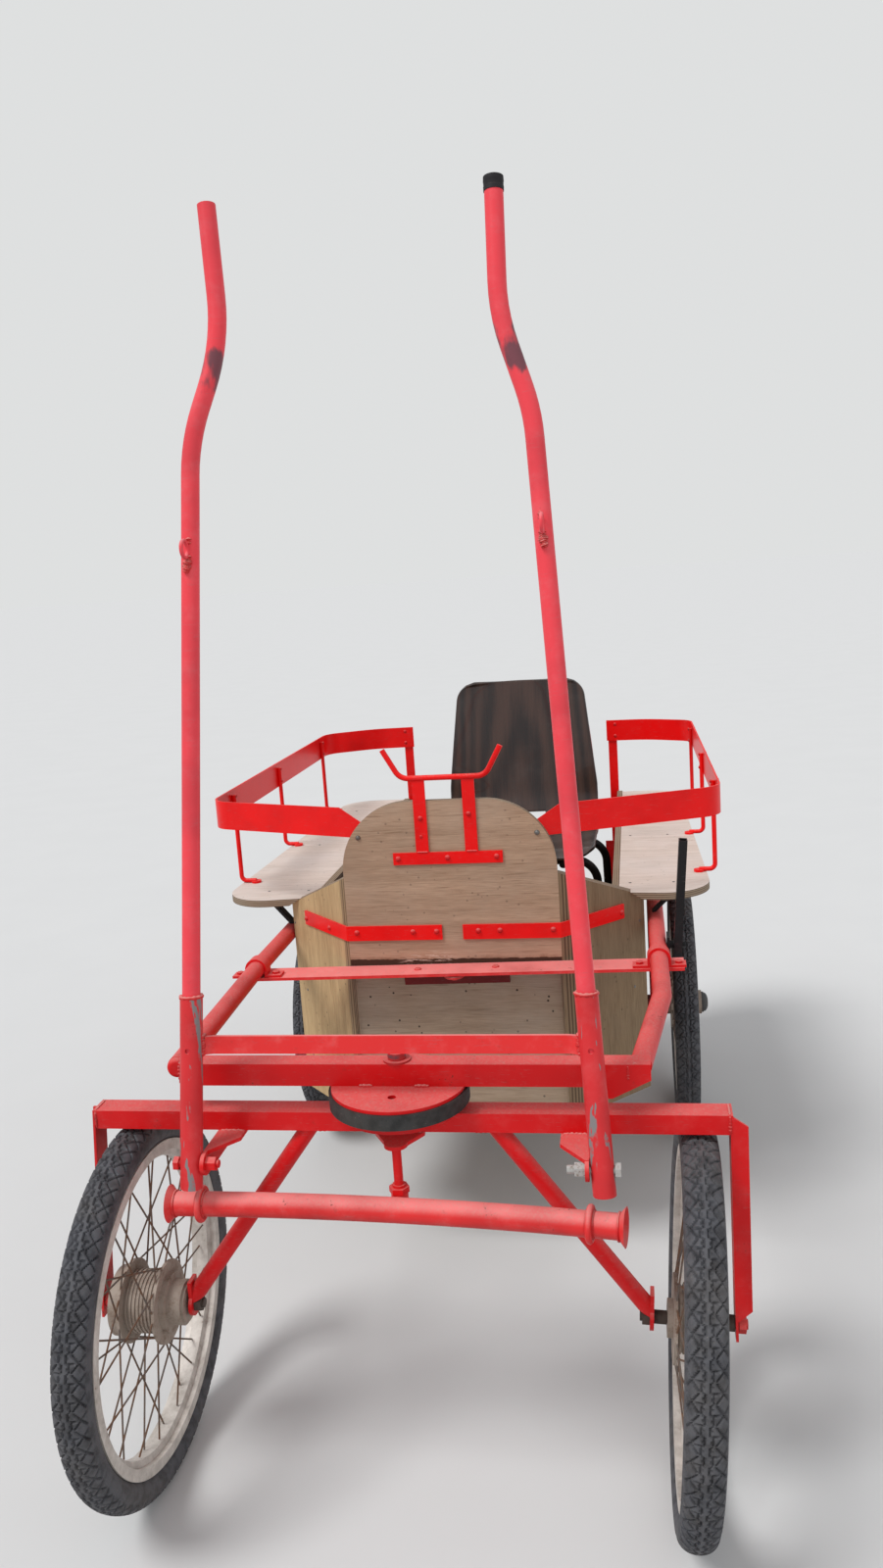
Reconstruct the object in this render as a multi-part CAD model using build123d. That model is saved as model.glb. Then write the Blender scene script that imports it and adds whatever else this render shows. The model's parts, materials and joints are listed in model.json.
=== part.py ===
"""Four-wheeled pony cart with raised shafts, modelled in millimetres.

The cart stands on the floor at z = 0 and faces -Y. Its own left side is +X.
The origin lies on the floor, midway along and across the cart. Lengths that
run along the cart are given from the front axle, and y_at() places them.
"""
from build123d import *
from math import asin, atan2, cos, degrees, radians, sin, tan
import os

# Overall layout
OVERALL_LENGTH = 2140.0
TYRE_RADIUS = 300.0
REAR_END = OVERALL_LENGTH - TYRE_RADIUS
REAR_OVERHANG = 515.0
WHEELBASE = REAR_END - REAR_OVERHANG
FRONT_TRACK = 867.5
REAR_TRACK = 934.0
SIDES = (("left", 1), ("right", -1))
# Front wheels: hub centre from the middle, outward lean of the wheel's top and
# outward splay of its fork leg, both in degrees
FRONT_WHEELS = {
    "left": (FRONT_TRACK / 2 - 5.25, 3.2, 0.0),
    "right": (FRONT_TRACK / 2 + 5.25, 0.0, 4.5),
}

# Clearances
SEAT_GAP = 0.3          # between pieces that are welded or bolted together
RUNNING_CLEARANCE = 0.05  # radial, round a pin that turns
SIDE_PLAY = 0.6         # along a pin, between its cheeks

# Steel sections
ROUND_TUBE = 33.7       # frame side tubes
ROUND_WALL = 2.6
BRACE_TUBE = 26.9       # wheel braces, axle hangers and shaft poles
BRACE_WALL = 2.6
PLATE = 6.0
STRAP_THICKNESS = 4.0

# Turntable stack over the front axle
KINGPIN_TRAIL = 6.0     # kingpin behind the axle line
KINGPIN_RADIUS = 10.0
KINGPIN_HEAD_RADIUS = 14.0
KINGPIN_HEAD_HEIGHT = 11.0
KINGPIN_NUT = 30.0      # across flats
WASHER_RADIUS = 21.0
WASHER_THICKNESS = 3.0
BEAM_WIDTH = 40.0
BEAM_HEIGHT = 30.0
BEAM_WALL = 3.0
BEAM_BOTTOM = 607.5
BEAM_HALF_LENGTH = FRONT_TRACK / 2 + 54.25
BASE_RADIUS = 90.0
BASE_HEIGHT = 13.8
TURNTABLE_RADIUS = 103.0
TURNTABLE_PLATE = 5.0
RING_RADIUS = 107.0
RING_HEIGHT = 22.9
GREASE_HOLE_RADIUS = 6.5
GREASE_HOLE_AHEAD = 54.5
PIN_HOLE_PLAY = 0.5     # radial, where the kingpin only passes through

# Front wheel mounting
LEG_FLANGE = 25.0
LEG_REAR_FLANGE = 20.0
LEG_DEPTH = 40.0
LEG_THICKNESS = 4.0
LEG_BELOW_AXLE = 25.0
LEG_FRONT_ABOVE_AXLE = 4.0
BRACE_TOP_X = 122.0
BRACE_FOOT_X = FRONT_TRACK / 2 - 71.75
BRACE_LUG_THICKNESS = 6.0
BRACE_LUG_RADIUS = 20.0
SPINDLE_RADIUS = 7.5
SPINDLE_NUT = 24.0      # across flats
SPINDLE_NUT_HEIGHT = 11.0

# Wheels
TYRE_WIDTH = 57.0
BEAD_RADIUS = 241.0
RIM_INNER_WIDTH = 40.0
RIM_WALL = 3.0
RIM_FLANGE_RADIUS = 255.0
RIM_WELL_RADIUS = 228.0
HUB_FLANGE_RADIUS = 64.5
HUB_FLANGE_SPACING = 59.0
HUB_FLANGE_THICKNESS = 5.0
HUB_DRUM_RADIUS = 47.0
HUB_RIB_HEIGHT = 2.0
HUB_RIBS = 8
# Steps outside the flanges, inboard and outboard: radius, width
HUB_STEPS = {
    "front_left": (((28.0, 8.5),), ((30.0, 14.0),)),
    "front_right": (((46.0, 8.0), (35.0, 22.0), (30.0, 4.0)), ((54.0, 19.0),)),
    "rear": (((30.0, 14.0),), ((30.0, 14.0),)),
}
SPOKES = 36
SPOKE_RADIUS = 1.5
SPOKE_CIRCLE = 59.0
SPOKE_LEAD = 52.0       # degrees between a spoke's two ends

# Frame
CROSS_TUBE = 35.0
CROSS_TUBE_WALL = 3.0
CROSS_TUBE_LEFT = 378.0
CROSS_TUBE_RIGHT = 342.0
CROSS_END_FACE = 24.5   # upright part of the left end, above the slanted corner
CROSS_END_SLOPE = 0.5
GUSSET_DROP = 18.0
GUSSET_START_X = 305.0
# Side tubes from front to rear: place across, along and up
SIDE_TUBES = {
    "left": ((361.7, 13.0, 697.3), (402.0, 340.0, 687.5), (397.0, REAR_END - 45.0, 685.5)),
    "right": ((359.5, 26.0, 694.0), (395.0, 547.0, 676.0), (397.0, REAR_END - 45.0, 678.0)),
}
SIDE_TUBE_BENDS = {"left": 100.0, "right": 300.0}
STRAP_WIDTH = 60.0
STRAP_Y = 561.0
STRAP_LEFT = 448.5
STRAP_RIGHT = 430.0
CLAMP_Y = 547.0
CLAMP_WIDTH = 28.0
CLAMP_THICKNESS = 5.0
CLAMP_FOOT = 28.0

# Rear axle
AXLE_BAR = 30.0
HANGER_SPREAD = 130.0
HANGER_X = 397.0
STIRRUP_Y = REAR_END - 150.0
STIRRUP_WIDTH = 40.0

# Plywood body
PLY = 15.0
FLOOR_PLY = 12.0
FLOOR_TOP = 340.0
FRONT_PANEL_Y = 593.0
FRONT_PANEL_HALF = 214.0
FRONT_PANEL_TOP = 997.0
FRONT_PANEL_SHOULDER = 140.0
JOINT_LINE_Z = 662.0
LOWER_PANEL_STEP = 12.0
CORNER_OUT_X = 377.0
CORNER_OUT_Y = 759.0
CORNER_TOP_INNER = 845.0
CORNER_TOP_OUTER = 749.0
WALL_INNER_X = 312.0
WALL_END_Y = REAR_END - 11.0

# Side benches
BOARD_TOP = 765.0
# Front edge at the wall and at the outer corner, outer edge at front and rear
BENCH_BOARDS = {
    "left": (728.0, 704.0, 517.0, 487.0),
    "right": (739.0, 711.0, 531.0, 497.0),
}
BOARD_REAR_Y = REAR_END - 25.0
BOARD_FRONT_CORNER = 95.0
BOARD_REAR_CORNER = 85.0
BRACE_STATIONS = (800.0, REAR_END - 180.0)
BRACE_STRAP_WIDTH = 25.0

# Guard rails
RAIL_HEIGHT = 60.0
RAIL_THICKNESS = 4.0
# Top edge, centre line at the front bend and at the rear bend
GUARD_RAILS = {
    "left": (975.0, 538.0, 527.0),
    "right": (982.0, 534.0, 538.0),
}
RAIL_FRONT_X = 168.0
RAIL_FRONT_BEND_Y = 751.0
RAIL_REAR_BEND_Y = REAR_END - 82.0
RAIL_REAR_END_X = 288.0
RAIL_BEND_RADIUS = 58.0
ROD_RADIUS = 5.0
ROD_STATIONS = (880.0, 1040.0 + 0.109 * REAR_END, REAR_END - 165.0)
ROD_FOOT = 34.0
UPRIGHT_WIDTH = 25.0
UPRIGHT_THICKNESS = 5.0
UPRIGHT_BOTTOM = 590.0
POST_FLANGE = 40.0
POST_TOP = 614.0

# Fittings on the front panel
CORNER_STRAP_HEIGHT = 30.0
CORNER_STRAP_Z = 730.0
CORNER_STRAP_INNER_X = 21.0
CORNER_STRAP_RUN = 172.0
REIN_STRAP_HALF = 109.0
REIN_STRAP_Z = 882.0
REIN_STRAP_HEIGHT = 24.0
REIN_UPRIGHT_X = 49.0
REIN_BAR_Z = 1043.0
REIN_BAR_RADIUS = 5.5
REIN_BAR_TIP_X = 116.0
REIN_BAR_TIP_Z = 1101.0
BRACKET_HALF_LENGTH = 107.0
BRACKET_FLANGE = 40.0

# Seat
SEAT_X = 72.0
SEAT_PLY = 9.0
SEAT_WIDTH = 396.0
SEAT_TOP_WIDTH = 330.0
SEAT_FRONT_Y = 1075.0
SEAT_REAR_Y = 1440.0
SEAT_TOP_Y = 1530.0
SEAT_HEIGHT = 768.0
SEAT_BACK = 368.0       # backrest above the seat
SEAT_BEND_RADIUS = 85.0
SEAT_SLOT_WIDTH = 114.0
SEAT_TUBE_RADIUS = 10.0
SEAT_FRAME_DROP = 33.0
# Legs of the seat: place along the cart, half spread at the floor
SEAT_LEGS = ((1130.0, 205.0), (1330.0, 222.0))

# Brake lever
LEVER_WIDTH = 16.0
LEVER_DEPTH = 25.0
LEVER_X = 437.5
LEVER_Y = 622.0
LEVER_FOOT_Z = 662.0
LEVER_TOP_Z = 898.0
LEVER_LEAN_X = 4.5      # degrees outwards

# Shafts
PIVOT_X = 305.2
PIVOT_Y = -87.0
PIVOT_Z = 590.0
SHAFT_LEAN = 8.3        # degrees back from upright, as parked
SHAFT_TAPER = 2.95      # degrees inwards
SOCKET_RADIUS = 16.85
SOCKET_WALL = 3.2
SOCKET_BELOW = 36.5
SOCKET_ABOVE = 251.0
PIVOT_BOLT_RADIUS = 6.0
POLE_BEND_LOW = 1067.5
POLE_BEND_HIGH = 1205.5
# Centre line at the upper bend and at the tip, height of the tip
POLE_ENDS = {"left": (208.0, 209.0, 1392.5), "right": (196.0, 208.0, 1402.5)}
POLE_BEND_RADIUS = 300.0
POLE_FOOT = 70.0
TUG_HEIGHT = 908.0
TUG_RING_RADIUS = 12.0
TUG_WIRE_RADIUS = 3.0
SOCKET_HOLE_HEIGHT = 173.0
SOCKET_HOLE_RADIUS = 4.0
CROSSBAR_LOW = 163.7
CROSSBAR_HEIGHT = 26.5
CROSSBAR_THICKNESS = 8.0
CROSSBAR_SETBACK = 10.0
EAR_RADIUS = 17.0
BRACKET_INNER_X = 243.5
# Front edge of the toe plate at its inner side and at the ear, end of the bolt
BRACKETS = {"left": (-46.0, -93.0, 255.0), "right": (-36.5, -80.0, 262.0)}

# Swingletree
TREE_PIN_Y = -46.0
TREE_AHEAD = 26.0       # tube's centre line in front of its pin
TREE_OFFSET = -8.0      # tube's middle beside its pin
TREE_Z = 512.0
TREE_RADIUS = 18.5
TREE_WALL = 3.0
TREE_HALF_LENGTH = 346.0
TREE_BOW = 14.0
TREE_SWING = -3.1       # degrees about its pin, as parked
TREE_CUP_RADIUS = 28.5
TREE_CUP_DEPTH = 9.0
TREE_COLLAR_INSET = 50.6   # from the tube's end to the collar's middle
TREE_COLLAR_RADIUS = 27.7
TREE_COLLAR_WIRE = 4.9
TREE_BUSH_RADIUS = 13.0
TREE_BUSH_LOW = 497.0
TREE_BUSH_HIGH = 527.3
TREE_PIN_RADIUS = 7.0
TREE_NUT = 27.0         # across flats
TREE_NUT_HEIGHT = 8.7
TREE_TAB_HALF = 38.0
TREE_TAB_RADIUS = 18.0

# Sizes that follow from the ones above
FRONT_AXLE_Y = TYRE_RADIUS - OVERALL_LENGTH / 2
AXLE_Z = TYRE_RADIUS
KINGPIN_Y = FRONT_AXLE_Y + KINGPIN_TRAIL
BEAM_TOP = BEAM_BOTTOM + BEAM_HEIGHT
BASE_TOP = BEAM_TOP + BASE_HEIGHT
RING_TOP = BASE_TOP + RING_HEIGHT
PLATE_BOTTOM = RING_TOP + SEAT_GAP
CROSS_TUBE_BOTTOM = PLATE_BOTTOM + TURNTABLE_PLATE
CROSS_TUBE_TOP = CROSS_TUBE_BOTTOM + CROSS_TUBE
TUBE_R = ROUND_TUBE / 2
BOARD_BOTTOM = BOARD_TOP - PLY
WALL_OUTER_X = WALL_INNER_X + PLY
SEAT_TOP_Z = SEAT_HEIGHT + SEAT_BACK
SEAT_FRAME_Z = SEAT_HEIGHT - SEAT_FRAME_DROP
HUB_CORE = (HUB_FLANGE_SPACING + HUB_FLANGE_THICKNESS) / 2   # middle to a flange's outer face
REAR_HUB_HALF = HUB_CORE + sum(width for _, width in HUB_STEPS["rear"][0])
AXLE_BAR_HALF = REAR_TRACK / 2 - REAR_HUB_HALF - SIDE_PLAY


def y_at(distance):
    """Place along the cart, from a distance behind the front axle."""
    return FRONT_AXLE_Y + distance


def block(x0, x1, y0, y1, z0, z1):
    """Box between two opposite corners."""
    middle = ((x0 + x1) / 2, (y0 + y1) / 2, (z0 + z1) / 2)
    return Pos(*middle) * Box(abs(x1 - x0), abs(y1 - y0), abs(z1 - z0))


def rod(start, end, radius, wall=0.0):
    """Round bar between two points, or a tube if it has a wall."""
    axis = Vector(*end) - Vector(*start)
    base = Plane(origin=start, z_dir=axis)
    bar = extrude(base * Circle(radius), amount=axis.length)
    if wall:
        bar -= extrude(base * Circle(radius - wall), amount=axis.length)
    return bar


def hexagon(centre, direction, across_flats, height, turn=0.0):
    """Hexagon nut or bolt head that grows from its centre along a direction."""
    base = Plane(origin=centre, z_dir=direction) * Rot(0, 0, turn)
    return extrude(base * RegularPolygon(across_flats / 2, 6, major_radius=False), amount=height)


def plan_prism(points, z0, z1):
    """Upright prism over a plan outline."""
    return Pos(0, 0, z0) * extrude(make_face(Polyline(*points, close=True)), amount=z1 - z0)


def bent_pipe(points, bends, radius, wall=0.0):
    """Pipe along straight runs with round bends."""
    path = FilletPolyline(*points, radius=bends)
    base = Plane(origin=path @ 0, z_dir=path % 0)
    pipe = sweep(base * Circle(radius), path=path)
    if wall:
        pipe -= sweep(base * Circle(radius - wall), path=path)
    return pipe


def plan_strip(points, bends, thickness, z0, z1):
    """Flat bar set on edge that follows a bent line in plan."""
    path = FilletPolyline(*[(x, y, (z0 + z1) / 2) for x, y in points], radius=bends)
    base = Plane(origin=path @ 0, x_dir=(0, 0, 1), z_dir=path % 0)
    return sweep(base * Rectangle(z1 - z0, thickness), path=path)


def mirror_x(part, side):
    """The piece itself on the left, its mirror image on the right."""
    return part if side > 0 else mirror(part, about=Plane.YZ)


def turntable_pieces():
    """Beam, base disc, rubber ring, upper plate and kingpin, from the bottom up."""
    y0 = KINGPIN_Y - BEAM_WIDTH / 2
    y1 = KINGPIN_Y + BEAM_WIDTH / 2
    beam = block(-BEAM_HALF_LENGTH, BEAM_HALF_LENGTH, y0, y1, BEAM_BOTTOM, BEAM_TOP)
    beam -= block(-BEAM_HALF_LENGTH, BEAM_HALF_LENGTH, y0 + BEAM_WALL, y1 - BEAM_WALL,
                  BEAM_BOTTOM + BEAM_WALL, BEAM_TOP - BEAM_WALL)
    beam -= rod((0, KINGPIN_Y, BEAM_BOTTOM), (0, KINGPIN_Y, BEAM_TOP),
                KINGPIN_RADIUS + RUNNING_CLEARANCE)

    def disc(radius, z0, z1):
        bore = KINGPIN_RADIUS + PIN_HOLE_PLAY
        return (rod((0, KINGPIN_Y, z0), (0, KINGPIN_Y, z1), radius)
                - rod((0, KINGPIN_Y, z0), (0, KINGPIN_Y, z1), bore))

    plate = disc(TURNTABLE_RADIUS, PLATE_BOTTOM, CROSS_TUBE_BOTTOM)
    grease_y = KINGPIN_Y - GREASE_HOLE_AHEAD
    plate -= rod((0, grease_y, PLATE_BOTTOM), (0, grease_y, CROSS_TUBE_BOTTOM), GREASE_HOLE_RADIUS)

    head_base = CROSS_TUBE_TOP + WASHER_THICKNESS
    nut_top = BEAM_BOTTOM - SIDE_PLAY
    pin = rod((0, KINGPIN_Y, nut_top - 20.0), (0, KINGPIN_Y, head_base), KINGPIN_RADIUS)
    pin += rod((0, KINGPIN_Y, CROSS_TUBE_TOP), (0, KINGPIN_Y, head_base), WASHER_RADIUS)
    pin += rod((0, KINGPIN_Y, head_base), (0, KINGPIN_Y, head_base + KINGPIN_HEAD_HEIGHT),
               KINGPIN_HEAD_RADIUS)
    pin += hexagon((0, KINGPIN_Y, nut_top), (0, 0, -1), KINGPIN_NUT, 16.0)
    return {
        "axle_beam": beam,
        "turntable_base": disc(BASE_RADIUS, BEAM_TOP, BASE_TOP),
        "turntable_ring": disc(RING_RADIUS, BASE_TOP, RING_TOP),
        "turntable_plate": plate,
        "kingpin": pin,
    }


def wheel_place(name):
    """Frame of a front wheel, built on the left: its hub centre, X along the spindle."""
    hub_x, camber, _ = FRONT_WHEELS[name]
    return Pos(hub_x, FRONT_AXLE_Y, AXLE_Z) * Rot(0, camber, 0)


def leg_span(name):
    """Inner and outer face of a fork leg along its spindle, and the angle it is met at."""
    hub_x, camber, splay = FRONT_WHEELS[name]
    drift = (BEAM_TOP - AXLE_Z) * tan(radians(splay))
    inner = (BEAM_HALF_LENGTH + SEAT_GAP + drift - hub_x) / cos(radians(camber))
    angle = radians(camber + splay)
    return inner, inner + LEG_THICKNESS / cos(angle), angle


def wheel_leg(name):
    """Outer fork leg, built on the left: angle iron with a flange in front or behind."""
    splay = FRONT_WHEELS[name][2]
    inner = BEAM_HALF_LENGTH + SEAT_GAP
    y0 = KINGPIN_Y - BEAM_WIDTH / 2
    y1 = y0 + LEG_DEPTH
    low = AXLE_Z - LEG_BELOW_AXLE
    leg = block(inner, inner + LEG_THICKNESS, y0, y1, low, BEAM_TOP)
    if splay:
        leg += block(inner, inner + LEG_REAR_FLANGE, y1 - LEG_THICKNESS, y1, AXLE_Z + 30, BEAM_TOP - 12)
        leg = leg.rotate(Axis((inner, 0, BEAM_TOP), (0, 1, 0)), -splay)
    else:
        front_low = AXLE_Z + LEG_FRONT_ABOVE_AXLE
        rise = LEG_FLANGE * 0.88
        drop = LEG_FLANGE * 0.7
        outline = [(inner, front_low), (inner + LEG_FLANGE, front_low + rise),
                   (inner + LEG_FLANGE, BEAM_TOP - drop), (inner, BEAM_TOP)]
        front_face = make_face(Polyline(*[(x, y0, z) for x, z in outline], close=True))
        leg += extrude(front_face, amount=LEG_THICKNESS, dir=(0, 1, 0))
    hole = rod((0, 0, 0), (150, 0, 0), SPINDLE_RADIUS + RUNNING_CLEARANCE)
    return leg - wheel_place(name) * hole


def wheel_brace(name):
    """Inner fork leg, built on the left: a round tube with a flat lug round the spindle."""
    place = wheel_place(name)
    lug_in = BRACE_FOOT_X - FRONT_WHEELS[name][0]
    lug_out = lug_in + BRACE_LUG_THICKNESS
    foot = (place * Pos((lug_in + lug_out) / 2, 0, 8)).position
    tube = rod((BRACE_TOP_X, KINGPIN_Y, BEAM_BOTTOM + 30), (foot.X, foot.Y, foot.Z),
               BRACE_TUBE / 2, BRACE_WALL)
    tube -= block(0, BEAM_HALF_LENGTH, KINGPIN_Y - 50, KINGPIN_Y + 50, BEAM_BOTTOM - SEAT_GAP, BEAM_TOP + 60)
    tube -= place * block(lug_in, lug_in + 60, -60, 60, -60, 60)
    tube -= place * rod((lug_in - 40, 0, 0), (lug_in, 0, 0), SPINDLE_NUT * 0.62)
    lug = rod((lug_in, 0, 0), (lug_out, 0, 0), BRACE_LUG_RADIUS)
    lug += block(lug_in, lug_out, -BRACE_TUBE / 2, BRACE_TUBE / 2, 0, 42)
    lug -= rod((lug_in, 0, 0), (lug_out, 0, 0), SPINDLE_RADIUS + RUNNING_CLEARANCE)
    return tube + place * lug


def front_spindle(name):
    """Front spindle, built on the left: rod, two nuts and the spacers beside the hub."""
    lug_in = BRACE_FOOT_X - FRONT_WHEELS[name][0]
    lug_out = lug_in + BRACE_LUG_THICKNESS
    leg_in, leg_out, angle = leg_span(name)
    inboard, outboard = HUB_STEPS[f"front_{name}"]
    hub_in = -HUB_CORE - sum(width for _, width in inboard) - SIDE_PLAY
    hub_out = HUB_CORE + sum(width for _, width in outboard) + SIDE_PLAY
    nut_in = leg_out + SEAT_GAP + SPINDLE_NUT * 0.58 * tan(angle)
    nut_out = nut_in + SPINDLE_NUT_HEIGHT
    spindle = rod((lug_in - SPINDLE_NUT_HEIGHT - 4, 0, 0), (nut_out + 2.5, 0, 0), SPINDLE_RADIUS)
    spindle += rod((lug_out + SEAT_GAP, 0, 0), (hub_in, 0, 0), 10.0)
    spindle += rod((hub_out, 0, 0), (leg_in - SEAT_GAP - 12.0 * tan(angle), 0, 0), 12.0)
    spindle += hexagon((nut_in, 0, 0), (1, 0, 0), SPINDLE_NUT, SPINDLE_NUT_HEIGHT, 30.0)
    spindle += hexagon((lug_in - SEAT_GAP, 0, 0), (-1, 0, 0), SPINDLE_NUT, SPINDLE_NUT_HEIGHT)
    return wheel_place(name) * spindle


def tyre():
    """Tyre about the X axis, round in section with a slightly flatter crown."""
    bead = RIM_INNER_WIDTH / 2 - SEAT_GAP
    shoulder = TYRE_WIDTH * 0.36
    shoulder_r = TYRE_RADIUS - TYRE_WIDTH * 0.115
    over_flange = RIM_FLANGE_RADIUS + 1.5
    side_r = (over_flange + shoulder_r) / 2
    right = [Line((bead, BEAD_RADIUS + SEAT_GAP), (bead, over_flange)),
             ThreePointArc((bead, over_flange), (TYRE_WIDTH / 2, side_r), (shoulder, shoulder_r))]
    crown = ThreePointArc((shoulder, shoulder_r), (0, TYRE_RADIUS), (-shoulder, shoulder_r))
    left = [ThreePointArc((-shoulder, shoulder_r), (-TYRE_WIDTH / 2, side_r), (-bead, over_flange)),
            Line((-bead, over_flange), (-bead, BEAD_RADIUS + SEAT_GAP))]
    base = Line((-bead, BEAD_RADIUS + SEAT_GAP), (bead, BEAD_RADIUS + SEAT_GAP))
    profile = Plane.XZ * make_face(Curve() + right + crown + left + base)
    return revolve(profile, axis=Axis.X)


def rim():
    """Rim about the X axis: two flanges, two bead seats and a well."""
    half = RIM_INNER_WIDTH / 2
    outer = half + RIM_WALL
    seat_in = half - 9.0
    well_top = RIM_WELL_RADIUS + RIM_WALL
    right = [(outer, RIM_FLANGE_RADIUS), (half, RIM_FLANGE_RADIUS), (half, BEAD_RADIUS),
             (seat_in, BEAD_RADIUS), (seat_in - 3, well_top)]
    under = [(outer, BEAD_RADIUS - RIM_WALL), (seat_in + 2, BEAD_RADIUS - RIM_WALL),
             (seat_in - 1, RIM_WELL_RADIUS)]
    outline = right + [(-x, r) for x, r in reversed(right)] + [(-x, r) for x, r in under]
    outline += list(reversed(under))
    return revolve(Plane.XZ * make_face(Polyline(*outline, close=True)), axis=Axis.X)


def hub(spindle_radius, inboard, outboard):
    """Hub about the X axis: ribbed drum, two flanges, stepped ends and the wire spokes."""
    flange = HUB_FLANGE_SPACING / 2
    pitch = (HUB_FLANGE_SPACING - HUB_FLANGE_THICKNESS) / (2 * HUB_RIBS + 1)
    drum = [(HUB_DRUM_RADIUS + HUB_RIB_HEIGHT * (i % 2), pitch) for i in range(2 * HUB_RIBS + 1)]
    edge = (HUB_FLANGE_RADIUS, HUB_FLANGE_THICKNESS)
    steps = list(reversed(inboard)) + [edge] + drum + [edge] + list(outboard)
    bore = spindle_radius + RUNNING_CLEARANCE
    x = -HUB_CORE - sum(width for _, width in inboard)
    outline = [(x, bore)]
    for radius, width in steps:
        outline += [(x, radius), (x + width, radius)]
        x += width
    outline.append((x, bore))
    body = revolve(Plane.XZ * make_face(Polyline(*outline, close=True)), axis=Axis.X)
    rim_end = RIM_WELL_RADIUS - 2.0
    for i in range(SPOKES):
        flange_x = flange if i % 2 else -flange
        lead = SPOKE_LEAD if i % 4 < 2 else -SPOKE_LEAD
        rim_angle = radians(i * 360.0 / SPOKES)
        hub_angle = rim_angle + radians(lead)
        start = (flange_x, SPOKE_CIRCLE * cos(hub_angle), SPOKE_CIRCLE * sin(hub_angle))
        end = (flange_x * 0.15, rim_end * cos(rim_angle), rim_end * sin(rim_angle))
        body += rod(start, end, SPOKE_RADIUS)
    return body


def wheel_pieces(name, place, side, steps):
    """Tyre, rim and spoked hub of one wheel, placed on the left and mirrored for the right."""
    inboard, outboard = steps
    return {f"{name}_tyre": mirror_x(place * tyre(), side),
            f"{name}_rim": mirror_x(place * rim(), side),
            f"{name}_hub": mirror_x(place * hub(SPINDLE_RADIUS, inboard, outboard), side)}


def side_tube(name, radius, wall=0.0):
    """Frame side tube, built on the left: splayed front, one bend, straight to the rear."""
    points = [(x, y_at(y), z) for x, y, z in SIDE_TUBES[name]]
    pipe = bent_pipe(points, SIDE_TUBE_BENDS[name], radius, wall)
    if name == "right" and wall:
        # Closed front end: a plug with a rounded nose
        start = Vector(*points[0])
        along = (Vector(*points[1]) - start).normalized()
        nose = start - along * 10
        plug = rod((nose.X, nose.Y, nose.Z), tuple(start + along * 5), radius - 0.6)
        pipe += fillet(plug.edges().sort_by(Axis.Y)[0], 8.0)
    return pipe


def tube_at(name, distance):
    """Centre of a side tube's rear run, across and up, at a distance from the front axle."""
    (x0, y0, z0), (x1, y1, z1) = SIDE_TUBES[name][-2:]
    share = (distance - y0) / (y1 - y0)
    return x0 + (x1 - x0) * share, z0 + (z1 - z0) * share


def frame_pieces():
    """Front cross tube and the two side tubes, welded where they meet."""
    y0 = KINGPIN_Y - CROSS_TUBE / 2
    y1 = KINGPIN_Y + CROSS_TUBE / 2
    wall = CROSS_TUBE_WALL
    left = CROSS_TUBE_LEFT
    corner_z = CROSS_TUBE_TOP - CROSS_END_FACE
    corner_x = left - (corner_z - CROSS_TUBE_BOTTOM) / CROSS_END_SLOPE
    # The slanted corner's inner face lies one wall thickness inside
    shift = wall * (1 + CROSS_END_SLOPE ** 2) ** 0.5
    outer = [(-CROSS_TUBE_RIGHT, CROSS_TUBE_BOTTOM), (corner_x, CROSS_TUBE_BOTTOM), (left, corner_z),
             (left, CROSS_TUBE_TOP), (-CROSS_TUBE_RIGHT, CROSS_TUBE_TOP)]
    inner = [(-CROSS_TUBE_RIGHT, CROSS_TUBE_BOTTOM + wall),
             (corner_x + (wall - shift) / CROSS_END_SLOPE, CROSS_TUBE_BOTTOM + wall),
             (left - wall, corner_z - wall * CROSS_END_SLOPE + shift),
             (left - wall, CROSS_TUBE_TOP - wall), (-CROSS_TUBE_RIGHT, CROSS_TUBE_TOP - wall)]

    def prism(outline, front, depth):
        face = make_face(Polyline(*[(x, front, z) for x, z in outline], close=True))
        return extrude(face, amount=depth, dir=(0, 1, 0))

    cross = prism(outer, y0, CROSS_TUBE) - prism(inner, y0 + wall, CROSS_TUBE - 2 * wall)
    cross -= rod((0, KINGPIN_Y, CROSS_TUBE_BOTTOM), (0, KINGPIN_Y, CROSS_TUBE_TOP),
                 KINGPIN_RADIUS + PIN_HOLE_PLAY)
    drop = CROSS_TUBE_BOTTOM - GUSSET_DROP
    cross += prism([(GUSSET_START_X, CROSS_TUBE_BOTTOM + 1), (corner_x, CROSS_TUBE_BOTTOM + 1),
                    (corner_x, CROSS_TUBE_BOTTOM), (corner_x - GUSSET_DROP / CROSS_END_SLOPE, drop),
                    (GUSSET_START_X, drop)], y0, wall)
    cross -= mirror_x(side_tube("right", TUBE_R + SEAT_GAP), -1)
    left_tube = side_tube("left", TUBE_R, ROUND_WALL)
    left_tube -= block(250, 450, y0 - 80, y1 + SEAT_GAP, CROSS_TUBE_BOTTOM - 50, CROSS_TUBE_TOP + 50)
    right_tube = mirror_x(side_tube("right", TUBE_R, ROUND_WALL), -1)
    return {"front_crossmember": cross, "side_tube_left": left_tube, "side_tube_right": right_tube}


def strap_frame():
    """Frame of the rolled cross strap: origin in the middle of its top face."""
    left_x, left_z = tube_at("left", CLAMP_Y)
    right_x, right_z = tube_at("right", CLAMP_Y)
    roll = atan2(left_z - right_z, left_x + right_x)
    middle_z = left_z - (TUBE_R + SEAT_GAP) / cos(roll) - left_x * tan(roll)
    return Pos(0, 0, middle_z) * Rot(0, -degrees(roll), 0)


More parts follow.
